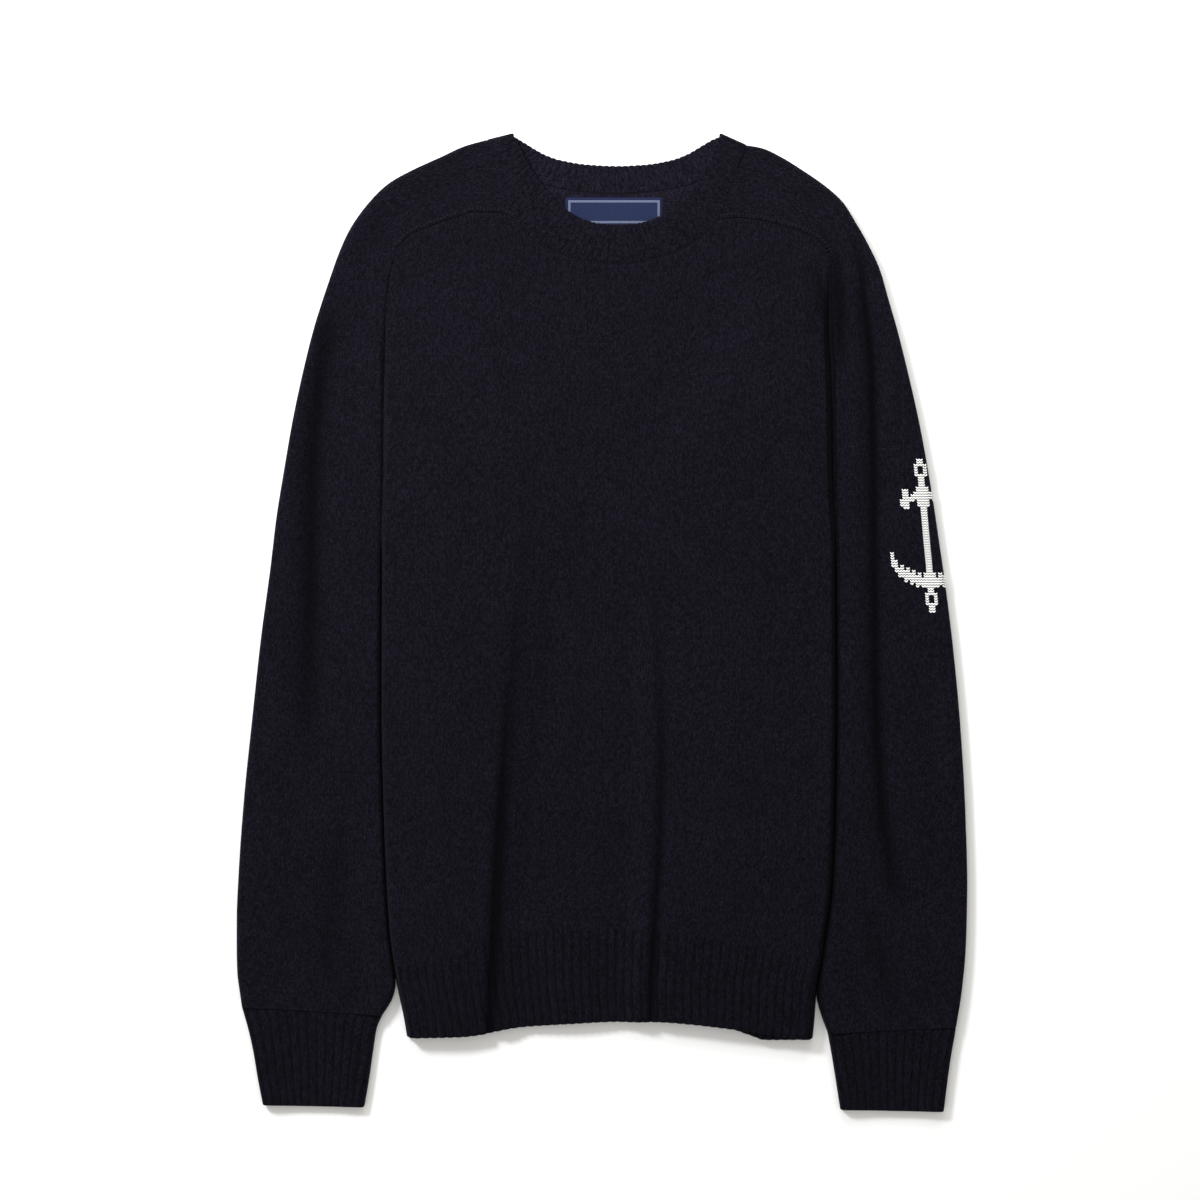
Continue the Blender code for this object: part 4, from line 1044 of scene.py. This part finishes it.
def half_collar(table, heading_start, heading_end):
    """Seam points, free points and wales of half the band, drawn in from its folds."""
    seams = np.array([[row.seam_x, row.seam_y] for row in table], float)
    frees = np.array([[row.free_x, row.free_y] for row in table], float)
    for line in (seams, frees):
        line[0] -= heading_start * (COLLAR_FOLD + WALL / 2)
        line[-1] -= heading_end * (COLLAR_FOLD + WALL / 2)
    along = lengths((seams + frees) / 2)
    ribs = round(along[-1] / COLLAR_RIB_PITCH)
    at = np.linspace(0.0, along[-1], ribs * PER_COLLAR_RIB + 1)
    wales = np.linspace(0.0, COLLAR_WALES * ribs, len(at))
    return along_line(seams, along, at), along_line(frees, along, at), wales


def collar_ring():
    """Stations round the band: seam point, free point, outward normal and wale."""
    over = []
    for last in (RIGHT_SLEEVE[-1], LEFT_SLEEVE[-1]):
        along = np.array([last.fold_x - last.front_x, last.fold_y - last.front_y])
        over.append(along / np.linalg.norm(along))
    stations = []
    wale = 0.0
    for table, start, end, level, facing_up in ((COLLAR_FRONT, over[0], over[1], TOP_SEAM_LEVEL, 1.0),
                                                (COLLAR_BACK, over[1], over[0], FLOOR_LAYER, -1.0)):
        seam, free, wales = half_collar(table, start, end)
        for s, f, w in zip(seam, free, wales):
            stations.append((np.array([*s, level]), np.array([*f, level]),
                             np.array([0.0, 0.0, facing_up]), wale + w))
        wale += wales[-1]
        for step in range(1, COLLAR_FOLD_STEPS):
            turn = math.pi * step / COLLAR_FOLD_STEPS
            reach = end * COLLAR_FOLD * math.sin(turn)
            height = (TOP_SEAM_LEVEL + FLOOR_LAYER) / 2 + facing_up * COLLAR_FOLD * math.cos(turn)
            round_fold = [np.array([*(line[-1] + reach), height]) for line in (seam, free)]
            stations.append((*round_fold, np.array([*(end * math.sin(turn)), facing_up * math.cos(turn)]),
                             wale + step / COLLAR_FOLD_STEPS * COLLAR_WALES))
        wale += COLLAR_WALES
    return stations


stations = collar_ring()
around, stitches = [], []
for seam, free, out, wale in stations:
    length = np.linalg.norm(free - seam)
    rise = rib_rise(wale, COLLAR_WALES)
    tip = free + (free - seam) / length * COLLAR_RIB_TIP * rise
    ribbed_face = -1.0 if out[2] < 0 else 1.0
    ring = []
    for face, shares in ((1.0, OUT_SHARES), (-1.0, IN_SHARES)):
        for share in shares:
            edge = min(rim(share * length), rim((1.0 - share) * length))
            dome = COLLAR_DOME * math.sin(math.pi * share) if out[2] > DOMED_FROM else 0.0
            relief = COLLAR_RELIEF * (rise - GUTTER_DEPTH) if face == ribbed_face else 0.0
            if face > 0.0:
                relief *= float(ease(share * length / COLLAR_FLATTENS))
            ring.append(mix(seam, tip, share) + out * (face * (WALL / 2 + relief) * edge + dome))
    around.append([*ring, ring[0]])
    stitches.append([(wale, share * length / COURSE) for share in (*OUT_SHARES, *IN_SHARES, 0.0)])
around.append(around[0])
stitches.append([(stations[-1][3] + COLLAR_WALES / COLLAR_FOLD_STEPS, course) for _, course in stitches[0]])
around, stitches = np.array(around), np.array(stitches)
around[..., 2] = np.maximum(around[..., 2], 0.0)

bm = bmesh.new()
bmesh.ops.create_grid(bm, x_segments=around.shape[1] - 1, y_segments=around.shape[0] - 1, size=1.0)
bm.loops.layers.uv.new("stitches")
for face in bm.faces:
    place = (face.calc_center_median().x + 1.0) / 2.0 * (around.shape[1] - 1)
    face.material_index = 1 if place > len(OUT_SHARES) - 1 else 0
lay_through(bm, lambda vert, row, col: around[row, col], stitches)
bmesh.ops.remove_doubles(bm, verts=bm.verts, dist=1e-6)
collar_knit = (wool("navy_collar_right_side", COLLAR_NAVY, "knit", rib_wales=2, gutter=0.86),
               wool("navy_collar_wrong_side", INSIDE_NAVY, "knit", rib_wales=2, gutter=0.85))
knit_collar = finish_piece("knit_collar", bm, collar_knit, sharp=60)
place_piece(knit_collar, "collar")

# ---- Linking -------------------------------------------------------------------------
# The saddles are linked to the front by a row of chain stitches in the same yarn, and the
# fashioning marks beside it show as a dotted line, their yarn painted lighter as a painted
# highlight where light catches the raised loops. A finer chain links the collar.
YARN_FINISH = {"Roughness": 0.9, "Specular IOR Level": 0.05, "Sheen Weight": 0.01, "Sheen Roughness": 0.5}
YARN_RELIEF = (0.6, 0.0002)
YARN_FIBRE_SCALE = 2600.0
LOOP_FACETS = (7, 5)
SEAM_NAVY = (0.0062, 0.0057, 0.0100)
# Painted highlight: the marks' yarn is lighter than the cloth, where light catches them.
HIGHLIT_MARK_NAVY = (0.0155, 0.0142, 0.0210)
Row = namedtuple("Row", "name pitch level shift slant loop")
SADDLE_ROWS = rows(Row, ("saddle_linking", 2.7, 5.35, 0.0, 0.35, (1.8, 2.2, 0.9)),
                   ("saddle_marks", 2.7, 5.85, 2.4, 0.25, (1.3, 1.7, 0.8)))
SADDLE_SEAMS = {"right": FRONT_TOP[0:7], "left": FRONT_TOP[16:24]}
COLLAR_SEAMS = ((COLLAR_FRONT[1:-1], 5.3), (COLLAR_BACK[2:-2], 1.75))
COLLAR_LOOP = (1.7, 2.5, 0.9)
COLLAR_LOOP_PITCH = 2.45
COLLAR_LOOP_SLANT = 0.3


def yarn(name, colour, fleck=0.5):
    """Plain yarn for stitches that stand up on their own."""
    thread = Cloth(name, YARN_FINISH, colour)
    fibre = thread.uneven(thread.place, YARN_FIBRE_SCALE, 3.0)
    tone = thread.nodes.new("ShaderNodeValToRGB")
    for step, position, share in zip(tone.color_ramp.elements, (0.3, 0.7), (1.0 - fleck, 1.0)):
        step.position = position
        step.color = (*[channel * share for channel in colour], 1.0)
    return thread.surface(thread.add(tone, Fac=fibre)["Color"], fibre, *YARN_RELIEF)


def lay_loops(bm, spots, size):
    """Small rounded loops of yarn at (place, along, up) spots, in millimetres."""
    one = bmesh.new()
    bmesh.ops.create_uvsphere(one, u_segments=LOOP_FACETS[0], v_segments=LOOP_FACETS[1], radius=0.5)
    bmesh.ops.scale(one, verts=one.verts, vec=[length * MM for length in size])
    loop = bpy.data.meshes.new("loop")
    for place, along, upwards in spots:
        along = Vector(along).normalized()
        side = along.cross(Vector(upwards)).normalized()
        turn = Matrix((side, along, side.cross(along))).transposed().to_4x4()
        one.to_mesh(loop)
        loop.transform(Matrix.Translation(Vector(place) * MM) @ turn)
        bm.from_mesh(loop)
    bpy.data.meshes.remove(loop)
    one.free()


def seam_spots(points, pitch, level, shift=0.0, slant=0.0):
    """Evenly spaced spots along a line of seam points, moved sideways by shift."""
    points = np.array(points, float)
    along = lengths(points)
    at = np.arange(pitch / 2, along[-1], pitch)
    ahead = along_line(points, along, at + 0.5) - along_line(points, along, at - 0.5)
    spots = []
    for index, (here, heading) in enumerate(zip(along_line(points, along, at), ahead)):
        heading = heading / np.linalg.norm(heading)
        side = np.array([-heading[1], heading[0]])
        along_loop = heading + side * slant * (1 if index % 2 else -1)
        spots.append(((*(here + side * shift), level), (*along_loop, 0.0), (0.0, 0.0, 1.0)))
    return spots


seam_yarn, highlit_mark_yarn = yarn("navy_seam_yarn", SEAM_NAVY), yarn("navy_highlit_mark_yarn", HIGHLIT_MARK_NAVY)
for side, seam_points in SADDLE_SEAMS.items():
    for row, stitch in zip(SADDLE_ROWS, (seam_yarn, highlit_mark_yarn)):
        bm = bmesh.new()
        lay_loops(bm, seam_spots(seam_points, row.pitch, row.level, row.shift, row.slant), row.loop)
        place_piece(finish_piece(f"{row.name}_{side}", bm, (stitch,), sharp=180))
bm = bmesh.new()
for table, level in COLLAR_SEAMS:
    seam_points = [(row.seam_x, row.seam_y) for row in table]
    links = seam_spots(seam_points, COLLAR_LOOP_PITCH, level, slant=COLLAR_LOOP_SLANT)
    lay_loops(bm, links, COLLAR_LOOP)
place_piece(finish_piece("collar_linking", bm, (seam_yarn,), sharp=180))

# ---- Neck label ----------------------------------------------------------------------
# A plain woven label in two blues, with a pale line inside its edge, sewn to the inside
# of the back below the collar with small stitches. It carries no words.
LABEL_WIDTH = 73.0
LABEL_HEIGHT = 36.0
LABEL_ACROSS = 9.0
LABEL_UP = 301.0
LABEL_THICKNESS = 0.6
LABEL_EDGE_ROUNDING = 1.6
LABEL_BASE = 2.5
LABEL_GRID = (48, 24)
LABEL_STITCHED_IN = 1.3
LABEL_STITCH_PITCH = 3.0
LABEL_STITCH_LEVEL = LABEL_BASE + LABEL_THICKNESS + 0.1
LABEL_STITCH = (0.5, 2.0, 0.45)
CORNER_REACH = 2.0
CORNER_SHRINK = 0.004
WAVE_HEIGHT = 0.22
WAVE_ACROSS = 9.0
WAVE_UP = 12.0
WAVE_START = 0.8
SEWN_FLAT = 5.0
FRAME_UP = 308.2
FRAME_HALF_HEIGHT = 7.8
FRAME_INSET = 3.0
FRAME_LINE = 0.85
WARP_PITCH = 0.42
WEFT_PITCH = 0.36
LABEL_FINISH = {"Roughness": 0.6, "Specular IOR Level": 0.12, "Sheen Weight": 0.02}
LABEL_RELIEF = (0.5, 0.00012)
LABEL_FLECK_SCALE = 900.0
LABEL_BLUE = (0.0088, 0.0160, 0.0540)
LABEL_BORDER = (0.0060, 0.0085, 0.0420)
LABEL_LINE = (0.110, 0.130, 0.200)
LABEL_THREAD = (0.03, 0.034, 0.085)

label = Cloth("label_woven", LABEL_FINISH)
across, up = label.split(label.place)
past_side = (across - LABEL_ACROSS * MM).of("ABSOLUTE") - (LABEL_WIDTH / 2 - FRAME_INSET) * MM
past_end = (up - FRAME_UP * MM).of("ABSOLUTE") - FRAME_HALF_HEIGHT * MM
past_line = past_side.of("MAXIMUM", past_end)
warp = (across * (2.0 * math.pi / (WARP_PITCH * MM))).of("SINE")
weft = (up * (2.0 * math.pi / (WEFT_PITCH * MM))).of("SINE")
weave = warp * weft
ground = label.mixed(LABEL_BLUE, LABEL_BORDER, past_line.of("GREATER_THAN", 0.0))
woven = label.mixed(ground, LABEL_LINE, past_line.of("ABSOLUTE").of("LESS_THAN", FRAME_LINE * MM))
tone = weave * 0.12 + (label.uneven(label.place, LABEL_FLECK_SCALE) * 0.5 + 0.7)
label_woven = label.surface(label.mixed(woven, tone, 1.0, "MULTIPLY"), weave, *LABEL_RELIEF)

bm = bmesh.new()
bmesh.ops.create_grid(bm, x_segments=LABEL_GRID[0], y_segments=LABEL_GRID[1], size=0.5)
extruded = bmesh.ops.extrude_face_region(bm, geom=bm.faces[:], use_keep_orig=True)["geom"]
upper = {item for item in extruded if isinstance(item, bmesh.types.BMVert)}
for vert in bm.verts:
    across, up = vert.co.x * LABEL_WIDTH, vert.co.y * LABEL_HEIGHT
    to_side, to_end = LABEL_WIDTH / 2 - abs(across), LABEL_HEIGHT / 2 - abs(up)
    shrink = 1.0 - max(CORNER_REACH - to_side, 0.0) * max(CORNER_REACH - to_end, 0.0) * CORNER_SHRINK
    wave = math.sin(across / WAVE_ACROSS + WAVE_START) * math.cos(up / WAVE_UP)
    edge = min(to_side, to_end)
    lift = WAVE_HEIGHT * (wave + 1.0) * float(ease(edge / SEWN_FLAT))
    if vert in upper:
        lift += LABEL_THICKNESS * float(rim(edge * LABEL_EDGE_ROUNDING))
    place = Vector((LABEL_ACROSS + across * shrink, LABEL_UP + up * shrink, LABEL_BASE + lift))
    vert.co = place * MM
neck_label = finish_piece("woven_neck_label", bm, (label_woven,), sharp=60)
place_piece(neck_label, "neck_label")

bm = bmesh.new()
half_width, half_height = LABEL_WIDTH / 2 - LABEL_STITCHED_IN, LABEL_HEIGHT / 2 - LABEL_STITCHED_IN
corners = [(LABEL_ACROSS + x * half_width, LABEL_UP + y * half_height)
           for x, y in ((-1, -1), (1, -1), (1, 1), (-1, 1), (-1, -1))]
for ends in zip(corners, corners[1:]):
    lay_loops(bm, seam_spots(ends, LABEL_STITCH_PITCH, LABEL_STITCH_LEVEL), LABEL_STITCH)
label_stitching = finish_piece("label_stitching", bm, (yarn("label_thread", LABEL_THREAD),), sharp=180)
place_piece(label_stitching)

# ---- Anchor --------------------------------------------------------------------------
# A plain anchor in white wool, half over the left sleeve's outer fold: a ring, a crossbar
# with knobs, a shank, two curved arms and a small ring below. It is knitted in from a
# chart, and each of its stitches is a V of two yarn legs.
Chart = namedtuple("Chart", "low high near far")
# Courses from low to high, on the wales from near to far at both sides of the middle.
ANCHOR = rows(Chart,
    (1, 3, 0, 0), (4, 4, 0, 1), (5, 7, 1, 1), (8, 8, 0, 1), (9, 10, 0, 0), (11, 16, 0, 1),
    (11, 14, 2, 2), (12, 16, 3, 3), (11, 15, 4, 4), (13, 17, 5, 5), (12, 16, 6, 6), (14, 18, 7, 7),
    (13, 17, 8, 8), (15, 19, 9, 9), (15, 18, 10, 10), (17, 21, 11, 11), (19, 24, 12, 12),
    (17, 42, 0, 0), (43, 50, 0, 1), (51, 54, 0, 0), (46, 48, 2, 2), (45, 47, 3, 3), (45, 46, 4, 4),
    (42, 49, 5, 6), (43, 45, 7, 7), (55, 55, 0, 1), (56, 58, 1, 1), (59, 59, 0, 1), (60, 61, 0, 0))
ANCHOR_WALE = 14
ANCHOR_COURSE = 164
LEG = 0.25
LEG_LEAN = 0.48
LEG_RISE = 0.62
LEG_SIZE = (1.05, 2.55, 1.0)
LEG_PROUD = 0.1
LEG_SUNK = -0.42
SUNK_FROM = 0.6
WHITE = (0.93, 0.922, 0.905)


def between(knots, at, pick):
    """What pick gives at a place between two knots, blended from both."""
    spot = np.interp(at, knots, np.arange(len(knots)))
    low = min(int(spot), len(knots) - 2)
    return mix(pick(low), pick(low + 1), spot - low)


def on_sleeve(wale, course):
    """Place and normal on the left sleeve's outside, at a wale and a course."""
    spot = between(left_stitches[:, 0, 1], course, lambda row: between(
        left_stitches[row, :, 0], wale, lambda col: left_outside[row, col]))
    return spot[:3], spot[3:]


bm = bmesh.new()
spots = []
charted = [(ANCHOR_WALE + wale + 0.5, ANCHOR_COURSE + course + 0.5) for chart in ANCHOR
           for course in range(chart.low, chart.high + 1)
           for far in range(chart.near, chart.far + 1) for wale in (far, -1 - far)]
for wale, course in charted:
    for side in (-1.0, 1.0):
        foot = wale + side * LEG
        place, normal = on_sleeve(foot, course)
        above, _ = on_sleeve(foot + side * LEG_LEAN, course + LEG_RISE)
        proud = mix(LEG_PROUD, LEG_SUNK, float(ease(-normal[2] / SUNK_FROM)))
        spots.append((place + normal * proud, above - place, normal))
lay_loops(bm, spots, LEG_SIZE)
white_anchor = finish_piece("white_anchor", bm, (yarn("white_wool", WHITE, 0.12),), sharp=180)
place_piece(white_anchor)
